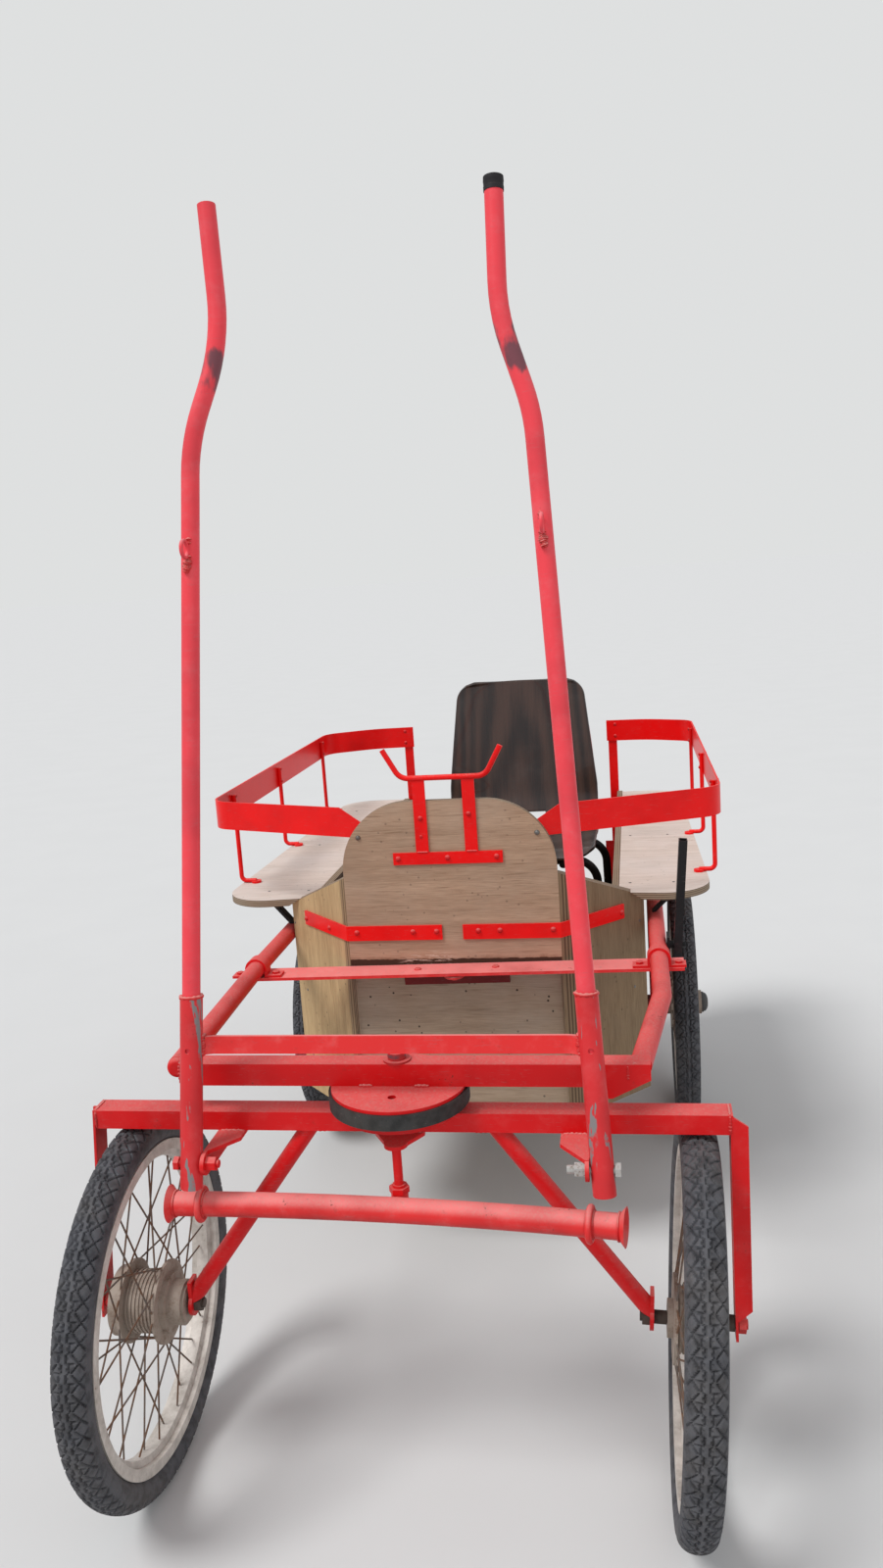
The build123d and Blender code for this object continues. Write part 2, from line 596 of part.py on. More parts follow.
def tube_clamp(name):
    """Saddle clamp that holds a side tube down on the cross strap, in the strap's frame."""
    side = dict(SIDES)[name]
    tube_x, tube_z = tube_at(name, CLAMP_Y)
    centre_x = (strap_frame().inverse() * Pos(side * tube_x, 0, tube_z)).position.X
    centre_z = TUBE_R + SEAT_GAP
    inner = TUBE_R + SEAT_GAP
    outer = inner + CLAMP_THICKNESS
    y0 = y_at(CLAMP_Y) - CLAMP_WIDTH / 2
    y1 = y0 + CLAMP_WIDTH

    def arch(radius):
        bow = rod((centre_x, y0, centre_z), (centre_x, y1, centre_z), radius)
        return bow + block(centre_x - radius, centre_x + radius, y0, y1, 0, centre_z)

    clamp = arch(outer)
    clamp += block(centre_x - outer - CLAMP_FOOT, centre_x + outer + CLAMP_FOOT, y0, y1, 0, CLAMP_THICKNESS)
    clamp -= arch(inner)
    clamp -= block(centre_x - 90, centre_x + 90, y0 - 1, y1 + 1, -60, 0)
    return strap_frame() * clamp - mirror_x(side_tube(name, TUBE_R + SEAT_GAP), side)


def strap_pieces():
    """Cross strap under the tubes, its clamps, and the angle bolted to the body."""
    y0 = y_at(STRAP_Y) - STRAP_WIDTH / 2
    y1 = y_at(STRAP_Y) + STRAP_WIDTH / 2
    place = strap_frame()
    strap = place * block(-STRAP_RIGHT, STRAP_LEFT, y0, y1, -PLATE, 0)
    face_y = y_at(FRONT_PANEL_Y + LOWER_PANEL_STEP)
    half = BRACKET_HALF_LENGTH
    angle = block(-half, half, face_y - STRAP_THICKNESS, face_y, -PLATE - BRACKET_FLANGE, -PLATE)
    angle += block(-half, half, face_y - BRACKET_FLANGE, face_y, -PLATE - STRAP_THICKNESS, -PLATE)
    return {"cross_strap": strap, "tube_clamps": Compound([tube_clamp(name) for name, _ in SIDES]),
            "body_bracket": place * angle}


def rear_axle_pieces():
    """Rear axle bar with its spindles, the hangers over it and the floor stirrup."""
    y = y_at(WHEELBASE)
    half = AXLE_BAR / 2
    axle = block(-AXLE_BAR_HALF, AXLE_BAR_HALF, y - half, y + half, AXLE_Z - half, AXLE_Z + half)
    hub_out = REAR_TRACK / 2 + REAR_HUB_HALF + SIDE_PLAY
    for _, side in SIDES:
        axle += rod((side * (AXLE_BAR_HALF - 5), y, AXLE_Z), (side * (hub_out + 4), y, AXLE_Z),
                    SPINDLE_RADIUS)
        axle += rod((side * hub_out, y, AXLE_Z), (side * (hub_out + 4), y, AXLE_Z), 14.0)
    hangers = []
    for name, side in SIDES:
        x = HANGER_X
        top = tube_at(name, WHEELBASE)[1]
        hanger = Part()
        for step in (-1, 1):
            hanger += rod((x, y + step * HANGER_SPREAD, top), (x, y + step * 8, AXLE_Z + half - 20),
                          BRACE_TUBE / 2)
        hanger -= block(x - 60, x + 60, y - 200, y + 200, AXLE_Z - 60, AXLE_Z + half + SEAT_GAP)
        hanger -= side_tube(name, TUBE_R + SEAT_GAP)
        hanger -= block(x - 60, x + 60, y - 300, y + 300, top, top + 60)
        hangers += [mirror_x(solid, side) for solid in hanger.solids()]
    y_s = y_at(STIRRUP_Y)
    inner = WALL_OUTER_X + 40
    low = FLOOR_TOP - FLOOR_PLY - PLATE
    tops = {}
    for name, _ in SIDES:
        tops[name] = tube_at(name, STIRRUP_Y)[1] - TUBE_R - SEAT_GAP
    points = [(-inner, tops["right"]), (-inner, low + PLATE / 2), (inner, low + PLATE / 2),
              (inner, tops["left"])]
    path = FilletPolyline(*[(x, y_s, z) for x, z in points], radius=30)
    base = Plane(origin=path @ 0, x_dir=(0, 1, 0), z_dir=path % 0)
    stirrup = sweep(base * Rectangle(STIRRUP_WIDTH, PLATE), path=path)
    for name, side in SIDES:
        x0 = side * (inner - PLATE / 2)
        x1 = side * (tube_at(name, STIRRUP_Y)[0] + 18)
        top = tops[name]
        stirrup += block(x0, x1, y_s - STIRRUP_WIDTH / 2, y_s + STIRRUP_WIDTH / 2, top - PLATE, top)
    return {"rear_axle": axle, "axle_hangers": Compound(hangers), "rear_stirrup": stirrup}


def corner_line():
    """Plan direction of the left corner panel, from the front panel outwards."""
    dx = CORNER_OUT_X - FRONT_PANEL_HALF
    dy = CORNER_OUT_Y - FRONT_PANEL_Y
    length = (dx * dx + dy * dy) ** 0.5
    return dx / length, dy / length, length


def mitre_shift(depth):
    """How far the front panel's end moves inwards at a depth behind its face."""
    dx, dy, _ = corner_line()
    return depth * tan(atan2(dy, dx) / 2)


def body_panels():
    """Front panel, lower panel, corner panels, side walls and floor."""
    front = y_at(FRONT_PANEL_Y)
    dx, dy, length = corner_line()
    half = FRONT_PANEL_HALF
    mitre = mitre_shift(PLY)
    panel = plan_prism([(-half, front), (half, front), (half - mitre, front + PLY),
                        (-half + mitre, front + PLY)], JOINT_LINE_Z, FRONT_PANEL_TOP)
    arch = RectangleRounded(2 * half, 2 * (FRONT_PANEL_TOP - JOINT_LINE_Z), FRONT_PANEL_SHOULDER)
    arch_plane = Plane(origin=(0, front - 5, JOINT_LINE_Z), x_dir=(1, 0, 0), z_dir=(0, -1, 0))
    panel &= extrude(arch_plane * arch, amount=-(PLY + 10))

    outer = [(half, front), (half + dx * length, front + dy * length)]
    inner = [(half + dx * length - dy * PLY, front + dy * length + dx * PLY), (half - mitre, front + PLY)]
    bottom = FLOOR_TOP - FLOOR_PLY
    corner = plan_prism(outer + inner, bottom, CORNER_TOP_INNER)
    slope_face = make_face(Polyline((half - 60, front - 60, CORNER_TOP_INNER),
                                    (half, front - 60, CORNER_TOP_INNER),
                                    (CORNER_OUT_X, front - 60, CORNER_TOP_OUTER),
                                    (CORNER_OUT_X + 60, front - 60, CORNER_TOP_OUTER - 36),
                                    (CORNER_OUT_X + 60, front - 60, CORNER_TOP_INNER + 90),
                                    (half - 60, front - 60, CORNER_TOP_INNER + 90), close=True))
    corner -= extrude(slope_face, amount=400, dir=(0, 1, 0))

    step = LOWER_PANEL_STEP
    lower_front = half - mitre_shift(step)
    back = front + step + PLY
    inner_back = half - mitre + (back - front - PLY) * dx / dy
    lower = plan_prism([(-lower_front, front + step), (lower_front, front + step),
                        (half - mitre, front + PLY), (inner_back, back), (-inner_back, back),
                        (-half + mitre, front + PLY)], bottom, JOINT_LINE_Z)

    wall_front = front + PLY + (WALL_INNER_X - half + mitre) * dy / dx
    wall_front_out = wall_front + PLY * dy / dx
    wall = plan_prism([(WALL_INNER_X, wall_front), (WALL_OUTER_X, wall_front_out),
                       (WALL_OUTER_X, y_at(WALL_END_Y)), (WALL_INNER_X, y_at(WALL_END_Y))],
                      FLOOR_TOP, BOARD_TOP)
    floor = plan_prism([(-inner_back, back), (inner_back, back), (WALL_OUTER_X, wall_front_out),
                        (WALL_OUTER_X, y_at(WALL_END_Y)), (-WALL_OUTER_X, y_at(WALL_END_Y)),
                        (-WALL_OUTER_X, wall_front_out)], bottom, FLOOR_TOP)
    pieces = {"front_panel": panel, "lower_panel": lower, "floor_board": floor}
    for name, side in SIDES:
        pieces[f"corner_panel_{name}"] = mirror_x(corner, side)
        pieces[f"side_wall_{name}"] = mirror_x(wall, side)
    return pieces


def bench_board(name):
    """Bench board, built on the left: tapered, rounded and notched over the corner panel."""
    front_in, front_out, outer_front, outer_rear = BENCH_BOARDS[name]
    inner = WALL_OUTER_X + SEAT_GAP
    rear = y_at(BOARD_REAR_Y)
    outline = make_face(Polyline((inner, y_at(front_in)), (outer_front, y_at(front_out)),
                                 (outer_rear, rear), (inner, rear), close=True))
    board = Pos(0, 0, BOARD_BOTTOM) * extrude(outline, amount=PLY)
    for x, y, radius in ((outer_front, y_at(front_out), BOARD_FRONT_CORNER),
                         (outer_rear, rear, BOARD_REAR_CORNER)):
        edge = board.edges().filter_by(Axis.Z).sort_by_distance((x, y, BOARD_BOTTOM))[0]
        board = fillet(edge, radius)
    dx, dy, length = corner_line()
    half = FRONT_PANEL_HALF
    front = y_at(FRONT_PANEL_Y)
    # The notch follows the corner panel's back and its sloping top edge
    back_gap = PLY + SEAT_GAP
    start = (half - dy * back_gap, front + dx * back_gap)
    end = (start[0] + dx * (length + 2 * PLY), start[1] + dy * (length + 2 * PLY))
    notch = plan_prism([start, end, (end[0], front - 50), (start[0], front - 50)], BOARD_BOTTOM - 5,
                       BOARD_TOP + 5)
    slope = (CORNER_TOP_INNER - CORNER_TOP_OUTER) / (CORNER_OUT_X - half)
    end_x = CORNER_OUT_X + 3
    under = [(half - 20, BOARD_BOTTOM - 10), (end_x, BOARD_BOTTOM - 10),
             (end_x, CORNER_TOP_OUTER - 3 * slope + 2 * SEAT_GAP),
             (half - 20, CORNER_TOP_INNER + 20 * slope + 2 * SEAT_GAP)]
    under_face = make_face(Polyline(*[(x, front - 60, z) for x, z in under], close=True))
    notch &= extrude(under_face, amount=500, dir=(0, 1, 0))
    board -= notch
    return board.solids().sort_by(SortBy.VOLUME)[-1]


def board_brace(name):
    """Struts from a side tube up to the bench board's underside, built on the left."""
    top = BOARD_BOTTOM - SEAT_GAP
    struts = []
    for station in BRACE_STATIONS:
        tube_x, tube_z = tube_at(name, station)
        foot_z = tube_z + TUBE_R + SEAT_GAP
        outline = [(tube_x - 7, foot_z), (tube_x, foot_z), (tube_x + 43, top - 5),
                   (tube_x + 70, top - 5), (tube_x + 70, top), (tube_x + 39, top)]
        y = y_at(station) - BRACE_STRAP_WIDTH / 2
        face = make_face(Polyline(*[(x, y, z) for x, z in outline], close=True))
        struts.append(extrude(face, amount=BRACE_STRAP_WIDTH, dir=(0, 1, 0)))
    return struts


def guard_rail(name):
    """Guard rail, built on the left: bent hoop, three rods with feet and the rear upright."""
    top_z, front_bend_x, rear_bend_x = GUARD_RAILS[name]
    front = y_at(FRONT_PANEL_Y) + PLY + SEAT_GAP
    run_x = front_bend_x - RAIL_FRONT_X
    run_y = y_at(RAIL_FRONT_BEND_Y) - front
    lean = atan2(run_y, run_x)
    start_y = front + RAIL_THICKNESS / 2 / cos(lean)
    rear_y = OVERALL_LENGTH / 2 - UPRIGHT_THICKNESS - RAIL_THICKNESS / 2
    points = [(RAIL_FRONT_X, start_y), (front_bend_x, y_at(RAIL_FRONT_BEND_Y)),
              (rear_bend_x, y_at(RAIL_REAR_BEND_Y)), (405.0, rear_y - 8), (RAIL_REAR_END_X, rear_y)]
    rail = plan_strip(points, [RAIL_BEND_RADIUS, RAIL_BEND_RADIUS, 200.0], RAIL_THICKNESS,
                      top_z - RAIL_HEIGHT, top_z)
    # Clipped front end behind the front panel
    clip = [(RAIL_FRONT_X - 10, top_z + 5), (RAIL_FRONT_X + 62, top_z + 5),
            (RAIL_FRONT_X - 10, top_z - 38)]
    clip_face = make_face(Polyline(*[(x, front - 20, z) for x, z in clip], close=True))
    rail -= extrude(clip_face, amount=90, dir=(0, 1, 0))
    upright_x = RAIL_REAR_END_X + 4
    y1 = OVERALL_LENGTH / 2
    rail += block(upright_x, upright_x + UPRIGHT_WIDTH, y1 - UPRIGHT_THICKNESS - 0.4, y1,
                  UPRIGHT_BOTTOM, top_z - 6)
    foot_z = BOARD_TOP + SEAT_GAP + ROD_RADIUS
    for station in ROD_STATIONS:
        y = y_at(station)
        share = (station - RAIL_FRONT_BEND_Y) / (RAIL_REAR_BEND_Y - RAIL_FRONT_BEND_Y)
        rail_x = front_bend_x + (rear_bend_x - front_bend_x) * share
        rod_x = rail_x - RAIL_THICKNESS / 2 - ROD_RADIUS + 1
        path = [(rod_x, y, top_z - 12), (rod_x, y, foot_z), (rod_x - ROD_FOOT, y, foot_z)]
        rail += bent_pipe(path, 12.0, ROD_RADIUS)
        pad_x = rod_x - ROD_FOOT
        rail += rod((pad_x, y, BOARD_TOP + SEAT_GAP), (pad_x, y, BOARD_TOP + SEAT_GAP + 5), 11.0)
    return rail


def corner_post():
    """Left angle iron at the wall's rear end, under the rail's upright."""
    y1 = OVERALL_LENGTH / 2 - UPRIGHT_THICKNESS - 2 * SEAT_GAP
    x1 = WALL_INNER_X - SEAT_GAP
    post = block(x1 - POST_FLANGE, x1, y1 - STRAP_THICKNESS, y1, FLOOR_TOP + SEAT_GAP, POST_TOP)
    post += block(x1 - STRAP_THICKNESS, x1, y1 - POST_FLANGE, y1, FLOOR_TOP + SEAT_GAP, POST_TOP)
    return post


def corner_strap():
    """Left flat strap bent round from the front panel onto the corner panel."""
    dx, dy, _ = corner_line()
    front = y_at(FRONT_PANEL_Y)
    offset = STRAP_THICKNESS / 2 + SEAT_GAP
    knee = FRONT_PANEL_HALF + mitre_shift(offset)
    points = [(CORNER_STRAP_INNER_X, front - offset), (knee, front - offset),
              (knee + dx * CORNER_STRAP_RUN, front - offset + dy * CORNER_STRAP_RUN)]
    return plan_strip(points, 4.0, STRAP_THICKNESS, CORNER_STRAP_Z - CORNER_STRAP_HEIGHT / 2,
                      CORNER_STRAP_Z + CORNER_STRAP_HEIGHT / 2)


def rein_rail():
    """Rein rail: base strap, two flat uprights and a bar with turned-up ends."""
    y1 = y_at(FRONT_PANEL_Y)
    y0 = y1 - STRAP_THICKNESS
    low = REIN_STRAP_Z - REIN_STRAP_HEIGHT / 2
    high = REIN_STRAP_Z + REIN_STRAP_HEIGHT / 2
    rail = block(-REIN_STRAP_HALF, REIN_STRAP_HALF, y0, y1, low, high)
    for _, side in SIDES:
        x = side * REIN_UPRIGHT_X
        rail += block(x - 12.5, x + 12.5, y0, y1, high - 2, REIN_BAR_Z)
    y = (y0 + y1) / 2
    points = [(-REIN_BAR_TIP_X, y, REIN_BAR_TIP_Z), (-84, y, REIN_BAR_Z), (84, y, REIN_BAR_Z),
              (REIN_BAR_TIP_X, y, REIN_BAR_TIP_Z)]
    return rail + bent_pipe(points, 28.0, REIN_BAR_RADIUS)


def seat_pieces():
    """Moulded plywood seat shell and its tube frame."""
    profile = [(y_at(SEAT_FRONT_Y), SEAT_HEIGHT - 26), (y_at(SEAT_FRONT_Y) + 14, SEAT_HEIGHT),
               (y_at(SEAT_REAR_Y), SEAT_HEIGHT - 14), (y_at(SEAT_TOP_Y), SEAT_TOP_Z)]
    path = FilletPolyline(*[(SEAT_X, y, z) for y, z in profile], radius=[12.0, SEAT_BEND_RADIUS])
    base = Plane(origin=path @ 0, x_dir=(1, 0, 0), z_dir=path % 0)
    shell = sweep(base * Rectangle(SEAT_WIDTH, SEAT_PLY), path=path)
    half = SEAT_WIDTH / 2
    top_half = SEAT_TOP_WIDTH / 2
    low = SEAT_HEIGHT - 60
    back = Polyline((-half, low), (half, low), (half, SEAT_HEIGHT + 60), (top_half, SEAT_TOP_Z + 2),
                    (-top_half, SEAT_TOP_Z + 2), (-half, SEAT_HEIGHT + 60), close=True)
    back_face = make_face(back)
    tops = back_face.vertices().sort_by(Axis.Y)[-2:]
    back_face = fillet(tops, 42.0)
    view = Plane(origin=(SEAT_X, y_at(SEAT_FRONT_Y) - 60, 0), x_dir=(1, 0, 0), z_dir=(0, -1, 0))
    shell &= extrude(view * back_face, amount=-700)
    depth = SEAT_TOP_Y - SEAT_FRONT_Y + 161
    seat_plan = Pos(SEAT_X, y_at(SEAT_FRONT_Y) - 16 + depth / 2) * RectangleRounded(SEAT_WIDTH, depth, 60)
    shell &= Pos(0, 0, low) * extrude(seat_plan, amount=SEAT_BACK + 132)
    shell -= block(SEAT_X - SEAT_SLOT_WIDTH / 2, SEAT_X + SEAT_SLOT_WIDTH / 2, y_at(SEAT_REAR_Y - 60),
                   y_at(SEAT_REAR_Y + 80), SEAT_HEIGHT + 10, SEAT_HEIGHT + 44)

    frame = Part()
    for station, spread in SEAT_LEGS:
        y = y_at(station)
        points = [(SEAT_X - spread, y, FLOOR_TOP + SEAT_GAP), (SEAT_X - spread + 8, y, SEAT_FRAME_Z),
                  (SEAT_X + spread - 8, y, SEAT_FRAME_Z), (SEAT_X + spread, y, FLOOR_TOP + SEAT_GAP)]
        frame += bent_pipe(points, 55.0, SEAT_TUBE_RADIUS)
    for side in (-1, 1):
        x = SEAT_X + side * 120.0
        frame += rod((x, y_at(SEAT_LEGS[0][0]) - 40, SEAT_FRAME_Z), (x, y_at(SEAT_LEGS[1][0]) + 40, SEAT_FRAME_Z),
                     SEAT_TUBE_RADIUS)
    return {"seat_shell": shell, "seat_frame": frame}


def brake_lever():
    """Hollow lever beside the left side tube, on a pivot plate."""
    y = y_at(LEVER_Y)
    tube_x, tube_z = tube_at("left", LEVER_Y)
    height = LEVER_TOP_Z - LEVER_FOOT_Z
    lever = Box(LEVER_WIDTH, LEVER_DEPTH, height, align=(Align.CENTER, Align.CENTER, Align.MIN))
    wall = 2.0
    lever -= Pos(0, 0, height - 120) * Box(LEVER_WIDTH - 2 * wall, LEVER_DEPTH - 2 * wall, 120,
                                           align=(Align.CENTER, Align.CENTER, Align.MIN))
    lever = Pos(LEVER_X, y, LEVER_FOOT_Z) * (Rot(0, LEVER_LEAN_X, 0) * lever)
    plate_x = tube_x + TUBE_R + SEAT_GAP
    lever += block(plate_x, plate_x + PLATE, y - 20, y + 20, tube_z - 20, tube_z + 20)
    lever += rod((plate_x, y, tube_z), (LEVER_X, y, tube_z), 8.0)
    lever += rod((plate_x, y, tube_z), (LEVER_X + LEVER_WIDTH / 2 + 9, y, tube_z), 5.0)
    return lever


def lean(part):
    """Tip an upright piece of the shafts back to the parked angle."""
    return part.rotate(Axis((0, y_at(PIVOT_Y), PIVOT_Z), (1, 0, 0)), -SHAFT_LEAN)


def shaft_x(height):
    """Distance of a shaft's centre line from the middle, at a height over the pivot."""
    return PIVOT_X - height * tan(radians(SHAFT_TAPER))


def shaft_pieces():
    """Two sockets, two poles with a double bend, and the bar between the sockets."""
    y = y_at(PIVOT_Y)

    def point(height, x=None):
        return (shaft_x(height) if x is None else x, y, PIVOT_Z + height)

    envelope = rod(point(-SOCKET_BELOW), point(SOCKET_ABOVE), SOCKET_RADIUS + SEAT_GAP)
    socket = rod(point(-SOCKET_BELOW), point(SOCKET_ABOVE), SOCKET_RADIUS, SOCKET_WALL)
    socket -= rod((PIVOT_X - 40, y, PIVOT_Z), (PIVOT_X + 40, y, PIVOT_Z),
                  PIVOT_BOLT_RADIUS + RUNNING_CLEARANCE)
    hole_x, hole_y, hole_z = point(SOCKET_HOLE_HEIGHT)
    socket -= rod((hole_x, hole_y - 40, hole_z), (hole_x, hole_y - 12, hole_z), SOCKET_HOLE_RADIUS)
    ring_x = shaft_x(TUG_HEIGHT)
    ring_y = y - BRACE_TUBE / 2 - TUG_RING_RADIUS + 1.0
    ring = Torus(TUG_RING_RADIUS, TUG_WIRE_RADIUS)
    ring = Pos(ring_x, ring_y, PIVOT_Z + TUG_HEIGHT) * (Rot(0, 90, 0) * ring)
    ends = shaft_x(CROSSBAR_LOW)
    setback = y + CROSSBAR_SETBACK
    low = PIVOT_Z + CROSSBAR_LOW
    bar_points = [(-ends, y - 4), (-ends + 30, setback), (ends - 30, setback), (ends, y - 4)]
    bar = plan_strip(bar_points, 22.0, CROSSBAR_THICKNESS, low, low + CROSSBAR_HEIGHT)
    bar -= envelope
    bar -= mirror_x(envelope, -1)
    bar = bar.solids().sort_by(SortBy.VOLUME)[-1]
    pieces = {"shaft_crossbar": lean(bar)}
    for name, side in SIDES:
        bend_x, tip_x, tip = POLE_ENDS[name]
        points = [point(POLE_FOOT), point(POLE_BEND_LOW), point(POLE_BEND_HIGH, bend_x), point(tip, tip_x)]
        pole = bent_pipe(points, POLE_BEND_RADIUS, BRACE_TUBE / 2, BRACE_WALL) + ring
        pieces[f"shaft_socket_{name}"] = lean(mirror_x(socket, side))
        pieces[f"shaft_pole_{name}"] = lean(mirror_x(pole, side))
    return pieces


def shaft_bracket(name):
    """Bracket under the beam, built on the left: toe plate, ear and the pivot bolt."""
    toe_in, toe_out, bolt_end = BRACKETS[name]
    y = y_at(PIVOT_Y)
    ear_x1 = PIVOT_X - SOCKET_RADIUS - 1.4
    ear_x0 = ear_x1 - PLATE
    y_back = KINGPIN_Y + BEAM_WIDTH / 2 - 6
    plate_top = BEAM_BOTTOM
    ear = rod((ear_x0, y, PIVOT_Z), (ear_x1, y, PIVOT_Z), EAR_RADIUS)
    ear += block(ear_x0, ear_x1, y, y_back, PIVOT_Z - EAR_RADIUS, plate_top)
    toe = plan_prism([(BRACKET_INNER_X, y_back), (ear_x1, y_back), (ear_x1, y_at(toe_out)),
                      (ear_x0, y_at(toe_out)), (BRACKET_INNER_X, y_at(toe_in))],
                     plate_top - PLATE, plate_top)
    head_x = PIVOT_X + SOCKET_RADIUS + 1.4
    bolt = rod((bolt_end, y, PIVOT_Z), (head_x + 2, y, PIVOT_Z), PIVOT_BOLT_RADIUS)
    bolt += hexagon((head_x, y, PIVOT_Z), (1, 0, 0), 19.0, 8.0)
    bolt += hexagon((ear_x0, y, PIVOT_Z), (-1, 0, 0), 19.0, 15.0)
    return ear + toe + bolt


def tree_pieces():
    """Plate and pin under the beam, and the swingletree that swings on the pin."""
    pin_y = y_at(TREE_PIN_Y)
    back = KINGPIN_Y - KINGPIN_HEAD_RADIUS - 6
    beam_front = KINGPIN_Y - BEAM_WIDTH / 2
    low = BEAM_BOTTOM - PLATE
    half = TREE_TAB_HALF
    plate = plan_prism([(-half, back + 6), (half, back + 6), (half, beam_front),
                        (TREE_TAB_RADIUS, pin_y), (-TREE_TAB_RADIUS, pin_y), (-half, beam_front)],
                       low, BEAM_BOTTOM)
    # The plate is hollowed out round the nut under the kingpin
    relief = KINGPIN_NUT / 2 / cos(radians(30)) + 1.2
    plate -= rod((0, KINGPIN_Y, low - 1), (0, KINGPIN_Y, BEAM_BOTTOM + 1), relief)
    hanger = plate + rod((0, pin_y, low), (0, pin_y, BEAM_BOTTOM), TREE_TAB_RADIUS)
    nut_low = TREE_BUSH_HIGH + SIDE_PLAY
    head_top = TREE_BUSH_LOW - SIDE_PLAY
    hanger += rod((0, pin_y, head_top - 4), (0, pin_y, low), TREE_PIN_RADIUS)
    hanger += rod((0, pin_y, head_top - 4), (0, pin_y, head_top), 12.0)
    hanger += hexagon((0, pin_y, nut_low), (0, 0, 1), TREE_NUT, TREE_NUT_HEIGHT)
    hanger += rod((0, pin_y, nut_low), (0, pin_y, nut_low + TREE_NUT_HEIGHT + 4), 10.0)

    # The tube is part of a large ring round an upright axis in front of it
    bow_radius = (TREE_HALF_LENGTH ** 2 + TREE_BOW ** 2) / (2 * TREE_BOW)
    centre = (TREE_OFFSET, pin_y - TREE_AHEAD - bow_radius)
    half_angle = asin(TREE_HALF_LENGTH / bow_radius)
    section = Plane(origin=(TREE_OFFSET, pin_y - TREE_AHEAD, TREE_Z), x_dir=(0, 1, 0), z_dir=(1, 0, 0))

    def station(inset, side):
        """Frame on the tube's centre line with Z out of its end, at a distance from the end."""
        angle = side * (half_angle - inset / bow_radius)
        origin = (centre[0] + bow_radius * sin(angle), centre[1] + bow_radius * cos(angle), TREE_Z)
        return Plane(origin=origin, z_dir=(side * cos(angle), -side * sin(angle), 0))

    annulus = section * (Circle(TREE_RADIUS) - Circle(TREE_RADIUS - TREE_WALL))
    turned = annulus.rotate(Axis((centre[0], centre[1], 0), (0, 0, 1)), -degrees(half_angle))
    tree = revolve(turned, axis=Axis((centre[0], centre[1], 0), (0, 0, 1)),
                   revolution_arc=degrees(2 * half_angle))
    align = (Align.CENTER, Align.CENTER, Align.MAX)
    for _, side in SIDES:
        cup = Cone(TREE_RADIUS - 0.5, TREE_CUP_RADIUS, TREE_CUP_DEPTH, align=align)
        tree += station(0.0, side) * cup
        hollow = Cone(TREE_RADIUS - TREE_WALL - 1.0, TREE_CUP_RADIUS - 2.0, TREE_CUP_DEPTH + 1, align=align)
        tree -= station(0.0, side) * hollow
        collar = Torus(TREE_COLLAR_RADIUS - TREE_COLLAR_WIRE, TREE_COLLAR_WIRE)
        collar += Cylinder(TREE_COLLAR_RADIUS - TREE_COLLAR_WIRE, TREE_COLLAR_WIRE)
        collar -= Cylinder(TREE_RADIUS - TREE_WALL / 2, 4 * TREE_COLLAR_WIRE)
        tree += station(TREE_COLLAR_INSET, side) * collar
    tree += rod((0, pin_y, TREE_BUSH_LOW), (0, pin_y, TREE_BUSH_HIGH), TREE_BUSH_RADIUS)
    tree -= rod((0, pin_y, TREE_Z - 60), (0, pin_y, TREE_Z + 60), TREE_PIN_RADIUS + RUNNING_CLEARANCE)
    tree = tree.rotate(Axis((0, pin_y, 0), (0, 0, 1)), TREE_SWING)
    return {"tree_hanger": hanger, "swingletree": tree}


def build():
    """Every piece of the cart by name."""
    pieces = {}
    pieces.update(turntable_pieces())
    pieces.update(frame_pieces())
    pieces.update(strap_pieces())
    pieces.update(rear_axle_pieces())
    pieces.update(body_panels())
    for name, side in SIDES:
        pieces[f"bench_board_{name}"] = mirror_x(bench_board(name), side)
        pieces[f"guard_rail_{name}"] = mirror_x(guard_rail(name), side)
        pieces[f"wheel_leg_{name}"] = mirror_x(wheel_leg(name), side)
        pieces[f"wheel_brace_{name}"] = mirror_x(wheel_brace(name), side)
    pairs = {"board_braces": board_brace, "corner_posts": lambda name: [corner_post()],
             "corner_straps": lambda name: [corner_strap()],
             "front_spindles": lambda name: [front_spindle(name)],
             "shaft_brackets": lambda name: [shaft_bracket(name)]}
    for piece, make in pairs.items():
        pieces[piece] = Compound([mirror_x(solid, side) for name, side in SIDES for solid in make(name)])
    pieces["rein_rail"] = rein_rail()
    pieces["brake_lever"] = brake_lever()
    pieces.update(seat_pieces())
    pieces.update(shaft_pieces())
    pieces.update(tree_pieces())
    rear_place = Pos(REAR_TRACK / 2, y_at(WHEELBASE), AXLE_Z)
    for name, side in SIDES:
        pieces.update(wheel_pieces(f"front_{name}", wheel_place(name), side, HUB_STEPS[f"front_{name}"]))
        pieces.update(wheel_pieces(f"rear_{name}", rear_place, side, HUB_STEPS["rear"]))
    return pieces


def main():
    """Write one file for each piece."""
    os.makedirs("parts", exist_ok=True)
    for name, piece in build().items():
        export_step(piece, f"parts/{name}.step")


main()
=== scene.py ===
"""Looks of a pony cart with raised shafts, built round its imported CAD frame.

Lengths are in metres in the frame's own axes: +Z up, -Y towards the shafts,
+X to the cart's own left. Places handed to at() are in millimetres, with the
place along the cart counted from the front axle.
"""

import json
import logging
import math
from dataclasses import dataclass
from enum import Enum
from typing import Any, Callable, Sequence

import bmesh
import bpy
import numpy as np
from mathutils import Matrix, Vector

